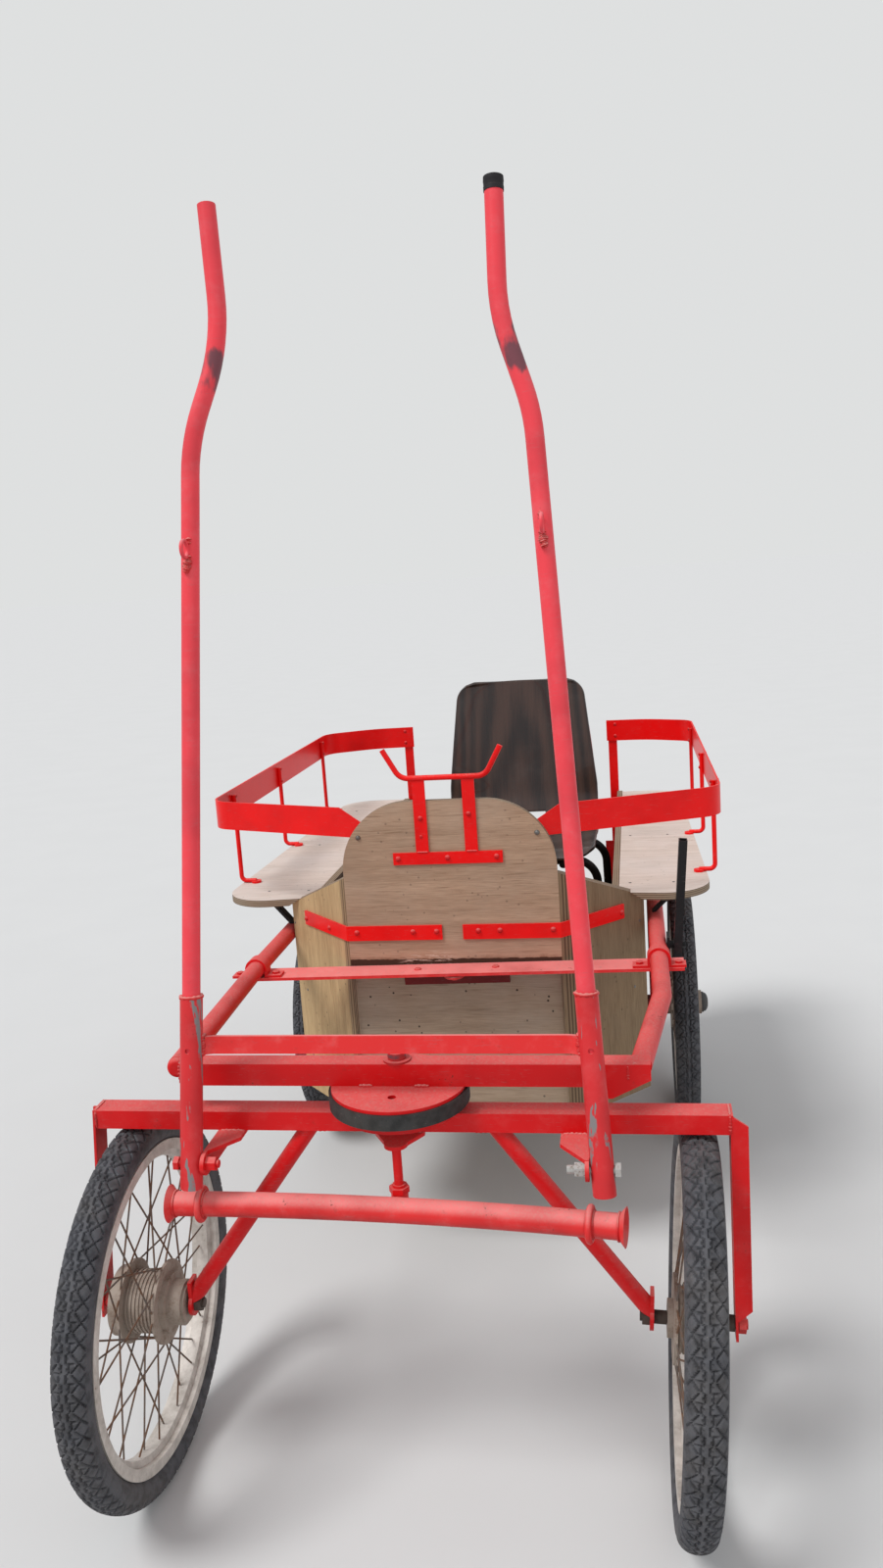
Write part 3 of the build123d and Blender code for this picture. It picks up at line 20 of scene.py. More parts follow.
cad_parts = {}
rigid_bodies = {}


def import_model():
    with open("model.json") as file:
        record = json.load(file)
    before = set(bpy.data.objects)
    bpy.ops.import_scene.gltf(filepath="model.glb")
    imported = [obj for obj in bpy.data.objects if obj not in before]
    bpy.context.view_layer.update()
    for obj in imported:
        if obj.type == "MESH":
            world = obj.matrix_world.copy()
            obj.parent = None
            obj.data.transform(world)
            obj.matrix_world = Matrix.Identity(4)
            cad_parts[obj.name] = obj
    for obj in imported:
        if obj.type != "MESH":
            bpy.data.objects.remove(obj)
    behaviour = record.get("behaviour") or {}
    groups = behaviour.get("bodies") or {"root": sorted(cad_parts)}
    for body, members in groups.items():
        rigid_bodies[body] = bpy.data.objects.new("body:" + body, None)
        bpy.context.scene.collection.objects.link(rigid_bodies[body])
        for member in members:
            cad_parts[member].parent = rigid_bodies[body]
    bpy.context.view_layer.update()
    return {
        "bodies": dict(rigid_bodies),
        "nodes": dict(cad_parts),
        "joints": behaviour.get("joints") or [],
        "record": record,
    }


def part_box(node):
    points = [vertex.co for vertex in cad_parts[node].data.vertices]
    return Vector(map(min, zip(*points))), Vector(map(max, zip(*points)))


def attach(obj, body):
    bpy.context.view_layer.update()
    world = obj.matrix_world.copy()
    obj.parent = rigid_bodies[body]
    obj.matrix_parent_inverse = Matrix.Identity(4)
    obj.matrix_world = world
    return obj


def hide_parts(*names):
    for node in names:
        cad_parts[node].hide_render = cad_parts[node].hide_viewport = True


LOG = logging.getLogger("pony_cart")
Colour = tuple[float, float, float, float]
Point = tuple[float, float, float]

MM = 0.001
GROOVE = "groove"                           # the tyres' attribute for the depth of the tread
AXLE_Y = -0.770                             # the front axle from the frame's origin
TURN = 2 * math.pi
FORWARD, UPWARD = (0, -1, 0), (0, 0, 1)
SUNK = -0.0008                              # a head's foot under its seat
# In mm and radians, as in the CAD
WHEELBASE, AXLE_HEIGHT = 1325.0, 300.0
KNEE_X = 214.0                              # where the body's front turns into its corners
CORNER_SLANT = math.atan2(166.0, 163.0)
PLATE_SLOPE = 0.0141                        # rise of the cross strap towards +X
PIVOT_ALONG, PIVOT_HEIGHT, PIVOT_X = -87.0, 590.0, 305.2
SHAFT_LEAN, SHAFT_TAPER = math.radians(8.3), math.radians(2.95)


def rgb(red: float, green: float, blue: float) -> Colour:
    """A linear colour with full opacity."""
    return (red, green, blue, 1.0)


def at(x: float, along: float, z: float) -> Point:
    """Point in metres from millimetres, with its place along the cart from the front axle."""
    return (x * MM, AXLE_Y + along * MM, z * MM)


class Body(Enum):
    """CAD bodies that a piece can ride on."""

    CHASSIS = "chassis"
    FORE_AXLE = "fore_axle"
    SHAFTS = "shafts"
    TREE = "swingletree"


class Head(Enum):
    """Shapes of a fastener's head."""

    DOME = "dome"
    HEX = "hex"


class Slot(Enum):
    """Material slots of the record."""

    RED = "red_paint"
    BLACK = "black_paint"
    STEEL = "pin_steel"
    TYRE = "tyre_rubber"
    SEAT = "seat_ply"


# Mesh building


class Pile:
    """Surfaces gathered into one mesh object."""

    def __init__(self) -> None:
        """Start with no points."""
        self.points: list[np.ndarray] = []
        self.faces: list[np.ndarray] = []
        self.count = 0

    def grid(self, points: np.ndarray, wrap_u: bool = False, wrap_v: bool = False) -> None:
        """Add a surface given on a grid; each cell becomes a four-sided face.

        Args:
            points: array of shape (u, v, 3).
            wrap_u: join the last row to the first.
            wrap_v: join the last column to the first.
        """
        rows, columns = points.shape[:2]
        u = np.arange(rows if wrap_u else rows - 1)
        v = np.arange(columns if wrap_v else columns - 1)
        uu, vv = np.meshgrid(u, v, indexing="ij")
        un, vn = (uu + 1) % rows, (vv + 1) % columns
        corners = ((uu, vv), (un, vv), (un, vn), (uu, vn))
        cells = np.stack([row * columns + column for row, column in corners], -1)
        self.faces.append(cells.reshape(-1, 4) + self.count)
        self.points.append(points.reshape(-1, 3))
        self.count += rows * columns

    def object(self, name: str, crease: float = 35.0, weld: float = 1e-6) -> bpy.types.Object:
        """Turn the pile into a cleaned, outward-facing mesh object.

        Args:
            name: the piece's name.
            crease: edges that bend by more than this many degrees stay sharp.
            weld: points closer than this are merged.

        Returns:
            The new object, linked to the scene.
        """
        mesh = bpy.data.meshes.new(name)
        points = np.concatenate(self.points).astype(np.float64)
        mesh.from_pydata(points.tolist(), [], np.concatenate(self.faces).tolist())
        obj = bpy.data.objects.new(name, mesh)
        bpy.context.scene.collection.objects.link(obj)
        work = bmesh.new()
        work.from_mesh(mesh)
        bmesh.ops.remove_doubles(work, verts=work.verts, dist=weld)
        bmesh.ops.dissolve_degenerate(work, edges=work.edges, dist=weld)
        bmesh.ops.recalc_face_normals(work, faces=work.faces)
        work.to_mesh(mesh)
        work.free()
        mesh.polygons.foreach_set("use_smooth", np.ones(len(mesh.polygons), bool))
        mesh.set_sharp_from_angle(angle=math.radians(crease))
        mesh.update()
        return obj


def dress(obj: bpy.types.Object, material: bpy.types.Material) -> None:
    """Give a piece one material, without touching its mesh.

    Args:
        obj: the piece.
        material: its finish.
    """
    if not obj.data.materials:
        obj.data.materials.append(material)
    for slot in obj.material_slots:
        slot.link = "OBJECT"
        slot.material = material


def settle(obj: bpy.types.Object, material: bpy.types.Material, body: str) -> None:
    """Dress a piece and let it ride on a body.

    Args:
        obj: the piece.
        material: its finish.
        body: the name of the body that carries it.
    """
    dress(obj, material)
    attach(obj, body)
    LOG.info("%s: %d faces", obj.name, len(obj.data.polygons))


def basis(axis: Sequence[float]) -> np.ndarray:
    """Unit rows of a right-handed frame whose third row is the axis.

    Args:
        axis: the direction to build the frame round.

    Returns:
        A 3 by 3 array: side, other side, axis.
    """
    third = np.asarray(axis, float) / np.linalg.norm(axis)
    helper = np.array([0.0, 0.0, 1.0]) if abs(third[2]) < 0.9 else np.array([1.0, 0.0, 0.0])
    first = np.cross(helper, third)
    first /= np.linalg.norm(first)
    return np.array([first, np.cross(third, first), third])


def lathe(profile: Sequence[tuple[float, float]], centre: Sequence[float], axis: Sequence[float],
          sides: int) -> np.ndarray:
    """Points of a profile turned round an axis: centre + r (cos, sin) + h axis.

    Args:
        profile: pairs of radius and height along the axis.
        centre: the profile's zero point.
        axis: the direction of height.
        sides: steps round the axis.

    Returns:
        Array of shape (sides, profile points, 3).
    """
    radius, height = np.array(profile, float).T
    turn = np.linspace(0, TURN, sides, endpoint=False)[:, None]
    side, other, up = basis(axis)
    ring = np.cos(turn)[..., None] * side + np.sin(turn)[..., None] * other
    return np.asarray(centre) + ring * radius[None, :, None] + height[None, :, None] * up


def length_along(points: np.ndarray) -> np.ndarray:
    """Distance of each point from the first, measured along the line through them."""
    return np.concatenate([[0], np.cumsum(np.linalg.norm(np.diff(points, axis=0), axis=1))])


def spline(points: np.ndarray, count: int) -> np.ndarray:
    """Cubic through the points, with slopes from their neighbours.

    Args:
        points: places that the curve passes through, shape (n, 2).
        count: points to give back, evenly spread.

    Returns:
        Array of shape (count, 2).
    """
    along = length_along(points)
    want = np.linspace(0, along[-1], count)
    slope = np.gradient(points, along, axis=0)
    cell = np.clip(np.searchsorted(along, want, "right") - 1, 0, len(along) - 2)
    length = (along[cell + 1] - along[cell])[:, None]
    t = ((want - along[cell])[:, None]) / length
    h00, h10 = 2 * t**3 - 3 * t**2 + 1, t**3 - 2 * t**2 + t
    h01, h11 = -2 * t**3 + 3 * t**2, t**3 - t**2
    return (h00 * points[cell] + h10 * length * slope[cell] + h01 * points[cell + 1]
            + h11 * length * slope[cell + 1])


def smooth_step(value: np.ndarray, low: float, high: float) -> np.ndarray:
    """Rise smoothly from 0 at low to 1 at high."""
    t = np.clip((value - low) / (high - low), 0, 1)
    return t * t * (3 - 2 * t)


def ripple(angle: np.ndarray, seed: float) -> np.ndarray:
    """Smooth uneven lumps between -1 and 1, the mean of sines at unlike rates.

    Args:
        angle: places in radians; whole turns close up.
        seed: shifts the pattern.

    Returns:
        Array with the shape of the angles.
    """
    total = np.zeros_like(angle)
    for order, (rate, gain) in enumerate(((2, 1.0), (3, 0.8), (5, 0.6), (9, 0.4))):
        total += gain * np.sin(rate * angle + seed * (1.7 + order))
    return total / 2.8


# Shader building


def operator(operation: str, swapped: bool = False) -> Callable[["Signal", Any], "Signal"]:
    """A Signal method that adds one Math node.

    Args:
        operation: the node's operation.
        swapped: put the other value first, for a reflected form.

    Returns:
        The method.
    """
    def method(self: "Signal", other: Any) -> "Signal":
        """Combine this signal with another value."""
        first, second = (other, self) if swapped else (self, other)
        return self.shader.math(operation, first, second)

    return method


class Signal:
    """A number socket that can be used in arithmetic."""

    def __init__(self, shader: "Shader", socket: Any) -> None:
        """Keep the socket and the shader it belongs to."""
        self.shader = shader
        self.socket = socket

    __add__ = __radd__ = operator("ADD")
    __mul__ = __rmul__ = operator("MULTIPLY")
    __sub__ = operator("SUBTRACT")
    __rsub__ = operator("SUBTRACT", swapped=True)
    __truediv__ = operator("DIVIDE")
    __pow__ = operator("POWER")

    def size(self) -> "Signal":
        """The value without its sign."""
        return self.shader.math("ABSOLUTE", self)

    def wave(self) -> "Signal":
        """Sine of the value, brought between 0 and 1."""
        return self.shader.math("SINE", self) * 0.5 + 0.5

    def rise(self, low: float, high: float) -> "Signal":
        """Smooth ramp that is 0 at low and 1 at high.

        Args:
            low, high: values where the ramp begins and ends.

        Returns:
            The ramp.
        """
        inputs = {0: self, 1: low, 2: high, 3: 0.0, 4: 1.0}
        return self.shader.number("ShaderNodeMapRange", {"interpolation_type": "SMOOTHSTEP"},
                                  inputs)


class Shader:
    """One node material with a Principled surface."""

    def __init__(self, name: str) -> None:
        """Start an empty material.

        Args:
            name: the material's name.
        """
        self.material = bpy.data.materials.new(name)
        self.material.use_nodes = True
        self.tree = self.material.node_tree
        self.tree.nodes.clear()
        self.surface = self.node("ShaderNodeBsdfPrincipled")
        self.node("ShaderNodeOutputMaterial", {}, {"Surface": self.surface.outputs["BSDF"]})
        self.coordinates = self.node("ShaderNodeTexCoord").outputs

    def node(self, kind: str, settings: dict[str, Any] | None = None,
             inputs: dict[Any, Any] | None = None) -> bpy.types.Node:
        """Add a node, set it up, then fill or link its sockets.

        Args:
            kind: the node's type.
            settings: its own settings, such as a Math node's operation.
            inputs: socket name or number to a value, a socket or a Signal.

        Returns:
            The new node.
        """
        made = self.tree.nodes.new(kind)
        for name, value in (settings or {}).items():
            setattr(made, name, value)
        for name, value in (inputs or {}).items():
            self.feed(made.inputs[name], value)
        return made

    def feed(self, socket: Any, value: Any) -> None:
        """Link a Signal or socket to a socket, or set its plain value.

        Args:
            socket: the input to fill.
            value: what fills it.
        """
        source = value.socket if isinstance(value, Signal) else value
        if isinstance(source, bpy.types.NodeSocket):
            self.tree.links.new(source, socket)
        else:
            socket.default_value = source

    def number(self, kind: str, settings: dict[str, Any], inputs: dict[Any, Any],
               output: Any = 0) -> Signal:
        """Add a node and wrap one of its outputs."""
        return Signal(self, self.node(kind, settings, inputs).outputs[output])

    def math(self, operation: str, *values: Any) -> Signal:
        """Add a Math node."""
        return self.number("ShaderNodeMath", {"operation": operation}, dict(enumerate(values)))

    def turned(self, vector: Any, turn: float) -> Any:
        """A vector turned back about Z by an angle in degrees."""
        inputs = {"Vector": vector, "Rotation": (0, 0, math.radians(-turn))}
        return self.node("ShaderNodeMapping", {"vector_type": "POINT"}, inputs).outputs[0]

    def place(self, stretch: Point = (1, 1, 1), turn: float = 0.0,
              centre: Point = (0, 0, 0)) -> Any:
        """Object coordinates, shifted to a centre, turned about Z and stretched.

        Args:
            stretch: factors along X, Y and Z after the turn.
            turn: angle about Z in degrees that lays a slanted piece square.
            centre: the point that becomes zero.

        Returns:
            The vector socket.
        """
        shifted = self.node("ShaderNodeVectorMath", {"operation": "SUBTRACT"},
                            {0: self.coordinates["Object"], 1: centre}).outputs[0]
        return self.node("ShaderNodeVectorMath", {"operation": "MULTIPLY"},
                         {0: self.turned(shifted, turn), 1: stretch}).outputs[0]

    def facing(self, turn: float = 0.0) -> tuple[Signal, Signal, Signal]:
        """Parts of the surface's own normal, turned about Z as a slanted piece is."""
        return self.split(self.turned(self.coordinates["Normal"], turn))

    def split(self, vector: Any) -> tuple[Signal, Signal, Signal]:
        """The three parts of a vector."""
        parts = self.node("ShaderNodeSeparateXYZ", {}, {0: vector}).outputs
        return Signal(self, parts[0]), Signal(self, parts[1]), Signal(self, parts[2])

    def noise(self, vector: Any, scale: float, detail: float = 4.0, roughness: float = 0.55,
              distortion: float = 0.0) -> Signal:
        """Cloudy noise between 0 and 1.

        Args:
            vector: where it is read.
            scale: lumps to a unit.
            detail, roughness, distortion: the node's own sockets.

        Returns:
            The noise.
        """
        inputs = {"Vector": vector, "Scale": scale, "Detail": detail, "Roughness": roughness,
                  "Distortion": distortion}
        return self.number("ShaderNodeTexNoise", {"noise_dimensions": "3D"}, inputs, "Fac")

    def streaks(self, stretch: Point, turn: float = 0.0, **settings: float) -> Signal:
        """Noise drawn out along the axes with small factors."""
        return self.noise(self.place(stretch, turn), 1.0, **settings)

    def cells(self, vector: Any, scale: float) -> Signal:
        """Distance to the nearest of a set of scattered points."""
        return self.number("ShaderNodeTexVoronoi", {"feature": "F1"},
                           {"Vector": vector, "Scale": scale, "Randomness": 1.0}, "Distance")

    def mix(self, first: Any, second: Any, share: Any) -> Any:
        """Colour between two colours, as a colour socket."""
        settings = {"data_type": "RGBA", "clamp_factor": True}
        return self.node("ShaderNodeMix", settings, {0: share, 6: first, 7: second}).outputs[2]

    def finish(self, colour: Any, roughness: Any, height: Signal | None = None,
               depth: float = 0.001, metallic: Any = 0.0, coat: float = 0.0,
               shine: float = 0.5) -> bpy.types.Material:
        """Feed the surface and hand over the material.

        Args:
            colour: base colour or colour socket.
            roughness: number or Signal.
            height: relief from 0 to 1, or None for a smooth face.
            depth: how deep a relief of 1 is, in metres.
            metallic: number or Signal.
            coat: weight of the clear coat.
            shine: the surface's own specular level.

        Returns:
            The finished material.
        """
        values = {"Base Color": colour, "Roughness": roughness, "Metallic": metallic,
                  "Coat Weight": coat, "Specular IOR Level": shine}
        if height is not None:
            values["Normal"] = self.node("ShaderNodeBump", {}, {
                "Height": height, "Distance": depth, "Strength": 1.0}).outputs[0]
        for name, value in values.items():
            self.feed(self.surface.inputs[name], value)
        return self.material


# Finishes


@dataclass(frozen=True)
class OldPaint:
    """Brushed paint that has faded on top, with chips, scratches and dust, and painted shade on
    its downward faces.

    Attributes:
        worn: lowest and highest height of a place rubbed down to dark metal, or None.
        streak: stretch of the scratches along X, Y and Z; a small part makes them long.
        streaks: how many scratches show, from 0 to 1.
        bolt: place along the frame and height of a bolt left bare on the +X side, or None.
        painted_from: distance from the middle line where the paint starts, or None.
    """

    name: str = "old_red_paint"
    fresh: Colour = rgb(0.68, 0.006, 0.008)
    faded: Colour = rgb(0.74, 0.13, 0.125)
    bare: Colour = rgb(0.23, 0.21, 0.21)
    rust: Colour = rgb(0.13, 0.035, 0.02)
    dust: Colour = rgb(0.52, 0.36, 0.30)
    fading: float = 0.75
    chips: float = 0.5
    gloss: float = 0.34
    worn: tuple[float, float] | None = None
    streak: Point = (60.0, 60.0, 420.0)
    streaks: float = 0.12
    bolt: tuple[float, float] | None = None
    painted_from: float | None = None

    def material(self) -> bpy.types.Material:
        """Build the material.

        Returns:
            The finished material.
        """
        shader = Shader(self.name)
        here = shader.place()
        across, along, height = shader.split(here)
        cloud = shader.noise(here, 7.0, 3.0)
        patch = shader.noise(here, 24.0, 5.0, 0.65)
        grit = shader.noise(here, 260.0, 4.0, 0.7)
        up = shader.facing()[2]
        sky = up.rise(0.15, 0.95)
        fade = (sky * (0.55 + cloud * 0.8) + patch.rise(0.45, 0.8) * 0.30) * self.fading
        colour = shader.mix(self.fresh, self.faded, fade)
        # A darker red, laid in random clouds of tone and as painted shade on the faces that look
        # downwards
        dark = rgb(self.fresh[0] * 0.50, self.fresh[1] * 0.6, self.fresh[2] * 0.6)
        deep = cloud.rise(0.42, 0.75) * 0.45 + up.rise(-0.1, -0.9) * 0.35
        colour = shader.mix(colour, dark, deep)
        colour = shader.mix(colour, self.dust, sky * grit.rise(0.42, 0.75) * 0.38)
        blotch = shader.noise(here, 70.0, 4.0, 0.7).rise(0.60, 0.72) * (0.35 * self.chips)
        colour = shader.mix(colour, self.rust, blotch)
        # Chips are where the wear passes a limit; their rims stand in relief
        wear = (patch * 0.5 + grit * 0.5) + (cloud - 0.5) * 0.25
        limit = 0.70 - 0.10 * self.chips
        chip = wear.rise(limit, limit + 0.012)
        colour = shader.mix(colour, shader.mix(self.bare, self.rust, grit.rise(0.45, 0.6)), chip)
        scratch = shader.streaks(self.streak, detail=3.0).rise(0.62, 0.64)
        colour = shader.mix(colour, self.bare, scratch * patch.rise(0.36, 0.48) * self.streaks)
        if self.worn is not None:
            low, high = self.worn
            near = 1 - ((height - (low + high) / 2).size() / ((high - low) / 2)).rise(0.35, 1.0)
            rubbed = shader.streaks((26.0, 26.0, 9.0), detail=4.0, roughness=0.65)
            share = (rubbed + near * 0.42).rise(0.82, 0.98) * 0.85
            colour = shader.mix(colour, rgb(0.075, 0.060, 0.075), share)
        if self.bolt is not None:
            steel = shader.mix(rgb(0.42, 0.41, 0.39), rgb(0.20, 0.15, 0.11), grit.rise(0.5, 0.7))
            off_y, off_z = along - self.bolt[0], height - self.bolt[1]
            away = (off_y * off_y + off_z * off_z) ** 0.5
            colour = shader.mix(colour, steel, away.rise(0.0118, 0.0112) * across.rise(0.0, 0.01))
        if self.painted_from is not None:
            inside = across.size().rise(self.painted_from + 0.001, self.painted_from)
            colour = shader.mix(colour, rgb(0.075, 0.055, 0.045), inside)
        rough = self.gloss + sky * 0.22 + grit * 0.14 + chip * 0.3
        brush = shader.noise(here, 900.0, 3.0, 0.6)
        relief = brush * 0.10 + patch * 0.40 + (1 - wear.rise(limit - 0.02, limit)) * 0.5
        return shader.finish(colour, rough, relief, 0.0007, shine=0.22)


@dataclass(frozen=True)
class Plywood:
    """Weathered plywood: grain along one axis, laminated edges, specks and stains.

    Attributes:
        grain_axis: 0, 1 or 2 for the axis along the grain.
        thickness_axis: the axis through the sheet, along which its layers show.
        turn: angle in degrees of a sheet that stands slanted in plan.
        band: distances from the middle line between which dark edge stripes show.
        foot: height below which the face turns brown and ragged, or None.
        scrape: middle of a patch of whitish scratches, or None.
    """

    name: str
    grain_axis: int = 0
    thickness_axis: int = 1
    turn: float = 0.0
    light: Colour = rgb(0.40, 0.27, 0.165)
    dark: Colour = rgb(0.20, 0.125, 0.070)
    grey: Colour = rgb(0.33, 0.26, 0.19)
    greying: float = 0.45
    contrast: float = 1.0
    specks: float = 0.4
    band: tuple[float, float] | None = None
    foot: float | None = None
    scrape: Point | None = None

    def grain(self, shader: Shader, along: float, across: float, **settings: float) -> Signal:
        """Noise drawn out along the grain by its own stretch factors."""
        stretch = tuple(along if axis == self.grain_axis else across for axis in range(3))
        return shader.streaks(stretch, self.turn, **settings)

    def marks(self, shader: Shader, face: Any, flat: Any) -> Any:
        """Lay the foot, the scrape and the edge band over the face's colour.

        Args:
            shader: the material being built.
            face: the colour so far.
            flat: coordinates turned square to the sheet.

        Returns:
            The new colour.
        """
        place = shader.split(shader.place())
        if self.foot is not None:
            brown = shader.noise(flat, 26.0, 4.0, 0.7) * 0.030 + self.foot - 0.018 - place[2]
            face = shader.mix(face, rgb(0.15, 0.070, 0.032), brown.rise(-0.004, 0.012) * 0.85)
            low = shader.noise(flat, 60.0, 3.0) * 0.006 + self.foot - 0.008 - place[2]
            face = shader.mix(face, rgb(0.05, 0.024, 0.014), low.rise(0.0, 0.002))
        if self.scrape is not None:
            near = shader.split(shader.place((1.0, 1.0, 3.2), 0.0, self.scrape))
            away = (near[0] * near[0] + near[2] * near[2]) ** 0.5
            line = shader.streaks((26.0, 26.0, 330.0), detail=3.0, roughness=0.6, distortion=1.2)
            mark = line.rise(0.54, 0.57) * away.rise(0.075, 0.03)
            face = shader.mix(face, rgb(0.62, 0.52, 0.42), mark * 0.75)
        if self.band is not None:
            low, high = self.band
            reach = place[0].size()
            ragged = reach + shader.streaks((20.0, 20.0, 6.0), detail=3.0) * 0.004
            inside = reach.rise(low - 0.001, low + 0.001) * ragged.rise(high + 0.003, high)
            stripes = shader.mix(rgb(0.27, 0.18, 0.105), rgb(0.075, 0.042, 0.024),
                                 (ragged * 1050.0).wave().rise(0.25, 0.8))
            face = shader.mix(face, stripes, inside * 0.8)
        return face

    def material(self) -> bpy.types.Material:
        """Build the material.

        Returns:
            The finished material.
        """
        shader = Shader(self.name)
        flat = shader.place(turn=self.turn)
        fibre = self.grain(shader, 24.0, 560.0, detail=5.0, roughness=0.65)
        bands = self.grain(shader, 3.0, 60.0, detail=6.0, roughness=0.62, distortion=0.5)
        fleck = self.grain(shader, 13.2, 308.0, detail=2.0).rise(0.62, 0.7)
        cloud = shader.noise(flat, 5.0, 4.0, 0.6)
        stain = shader.noise(flat, 2.4, 3.0, 0.6).rise(0.5, 0.72)
        speck = shader.cells(flat, 60.0).rise(0.17, 0.11)
        speck = speck * shader.noise(flat, 14.0, 2.0).rise(0.46, 0.58)
        spread = 0.2 / self.contrast
        tone = (bands * 0.40 + fibre * 0.60).rise(0.5 - spread, 0.5 + spread)
        face = shader.mix(self.dark, self.light, tone)
        face = shader.mix(face, self.grey, cloud.rise(0.35, 0.75) * self.greying)
        shade = rgb(self.dark[0] * 0.7, self.dark[1] * 0.68, self.dark[2] * 0.62)
        face = shader.mix(face, shade, fleck * 0.45 + stain * 0.30)
        face = shader.mix(face, rgb(0.03, 0.022, 0.018), speck * self.specks)
        face = self.marks(shader, face, flat)
        # Pairs of layers show as stripes where the surface faces out of the sheet's plane
        layers = shader.split(flat)[self.thickness_axis] * (TURN / 0.0043)
        edge = shader.mix(rgb(0.095, 0.055, 0.032), rgb(0.37, 0.27, 0.18),
                          layers.wave().rise(0.2, 0.8))
        edge = shader.mix(edge, rgb(0.30, 0.24, 0.18), cloud.rise(0.35, 0.7) * 0.5)
        out = shader.facing(self.turn)[self.thickness_axis].size().rise(0.75, 0.45)
        return shader.finish(shader.mix(face, edge, out), 0.78 - fibre * 0.12,
                             fibre * 0.5 + bands * 0.5, 0.0007, shine=0.25)


@dataclass(frozen=True)
class Veneer:
    """Dark lacquered veneer with long arched grain and a dusty haze."""

    name: str = "seat_veneer"
    centre: Point = (0.072, 0.7, 0.7)
    light: Colour = rgb(0.060, 0.030, 0.021)
    dark: Colour = rgb(0.013, 0.008, 0.007)

    def material(self) -> bpy.types.Material:
        """Build the material: rings of a long stretched cone give the arches.

        Returns:
            The finished material.
        """
        shader = Shader(self.name)
        across, along, up = shader.split(shader.place((5.2, 0.35, 1.0), 0.0, self.centre))
        warp = shader.streaks((2.4, 1.0, 1.0), detail=3.0)
        arch = (across * across) * 0.55 + up * 0.55 + along * 0.4 + warp * 0.6
        fibre = shader.streaks((420.0, 30.0, 14.0), detail=5.0, roughness=0.65)
        broad = shader.streaks((34.0, 6.0, 2.2), detail=4.0, roughness=0.6)
        tone = ((arch * 52.0).wave() * 0.30 + fibre * 0.45 + broad * 0.55).rise(0.38, 0.95)
        haze = shader.noise(shader.place(), 9.0, 5.0, 0.6).rise(0.5, 0.8)
        dusty = haze * 0.14 + shader.facing()[2].rise(0.3, 0.95) * 0.10
        colour = shader.mix(shader.mix(self.dark, self.light, tone), rgb(0.16, 0.13, 0.12), dusty)
        return shader.finish(colour, 0.26 + haze * 0.25 + fibre * 0.1, fibre, 0.0003, coat=0.3)


@dataclass(frozen=True)
class Rubber:
    """Dusty rubber with tan dust in its grooves and scuffed, paler blocks."""

    name: str = "tyre_rubber"
    black: Colour = rgb(0.032, 0.033, 0.039)
    worn: Colour = rgb(0.088, 0.090, 0.102)
    dust: Colour = rgb(0.200, 0.165, 0.128)
    dirt: float = 0.5
    grooved: bool = True

    def material(self) -> bpy.types.Material:
        """Build the material.

        Returns:
            The finished material.
        """
        shader = Shader(self.name)
        here = shader.place()
        cloud = shader.noise(here, 9.0, 5.0, 0.65)
        patch = shader.noise(here, 55.0, 4.0, 0.6)
        grit = shader.noise(here, 330.0, 4.0, 0.7)
        share = (cloud.rise(0.35, 0.75) * 0.5 + grit.rise(0.5, 0.8) * 0.5) * self.dirt
        colour = shader.mix(self.black, self.worn, patch.rise(0.30, 0.62) * 0.8)
        colour = shader.mix(colour, self.dust, share * 0.7)
        if self.grooved:
            groove = shader.number("ShaderNodeAttribute", {"attribute_name": GROOVE}, {}, "Fac")
            colour = shader.mix(colour, self.dust, groove.rise(0.35, 0.9) * (0.30 + cloud * 0.75))
        speck = shader.cells(here, 160.0).rise(0.10, 0.06) * patch.rise(0.5, 0.6)
        colour = shader.mix(colour, rgb(0.30, 0.26, 0.20), speck * 0.7)
        return shader.finish(colour, 0.60 + grit * 0.2, grit * 0.6 + patch * 0.4, 0.0006,
                             shine=0.4)


@dataclass(frozen=True)
class BareMetal:
    """Bare or zinc-coated metal with dirt and rust in patches."""

    name: str
    clean: Colour
    rust: Colour = rgb(0.15, 0.065, 0.03)
    rusting: float = 0.4
    metallic: float = 0.8
    roughness: float = 0.45

    def material(self) -> bpy.types.Material:
        """Build the material.

        Returns:
            The finished material.
        """
        shader = Shader(self.name)
        here = shader.place()
        cloud = shader.noise(here, 30.0, 6.0, 0.7)
        grit = shader.noise(here, 420.0, 4.0, 0.65)
        rust = (cloud * 0.7 + grit * 0.3).rise(0.62 - 0.25 * self.rusting,
                                               0.70 - 0.1 * self.rusting)
        dull = rgb(self.clean[0] * 0.5, self.clean[1] * 0.48, self.clean[2] * 0.45)
        base = shader.mix(self.clean, dull, cloud.rise(0.3, 0.7) * 0.7)
        return shader.finish(shader.mix(base, self.rust, rust),
                             self.roughness + rust * 0.35 + grit * 0.12,
                             grit * 0.6 + rust * 0.4, 0.0003, metallic=(1 - rust) * self.metallic)


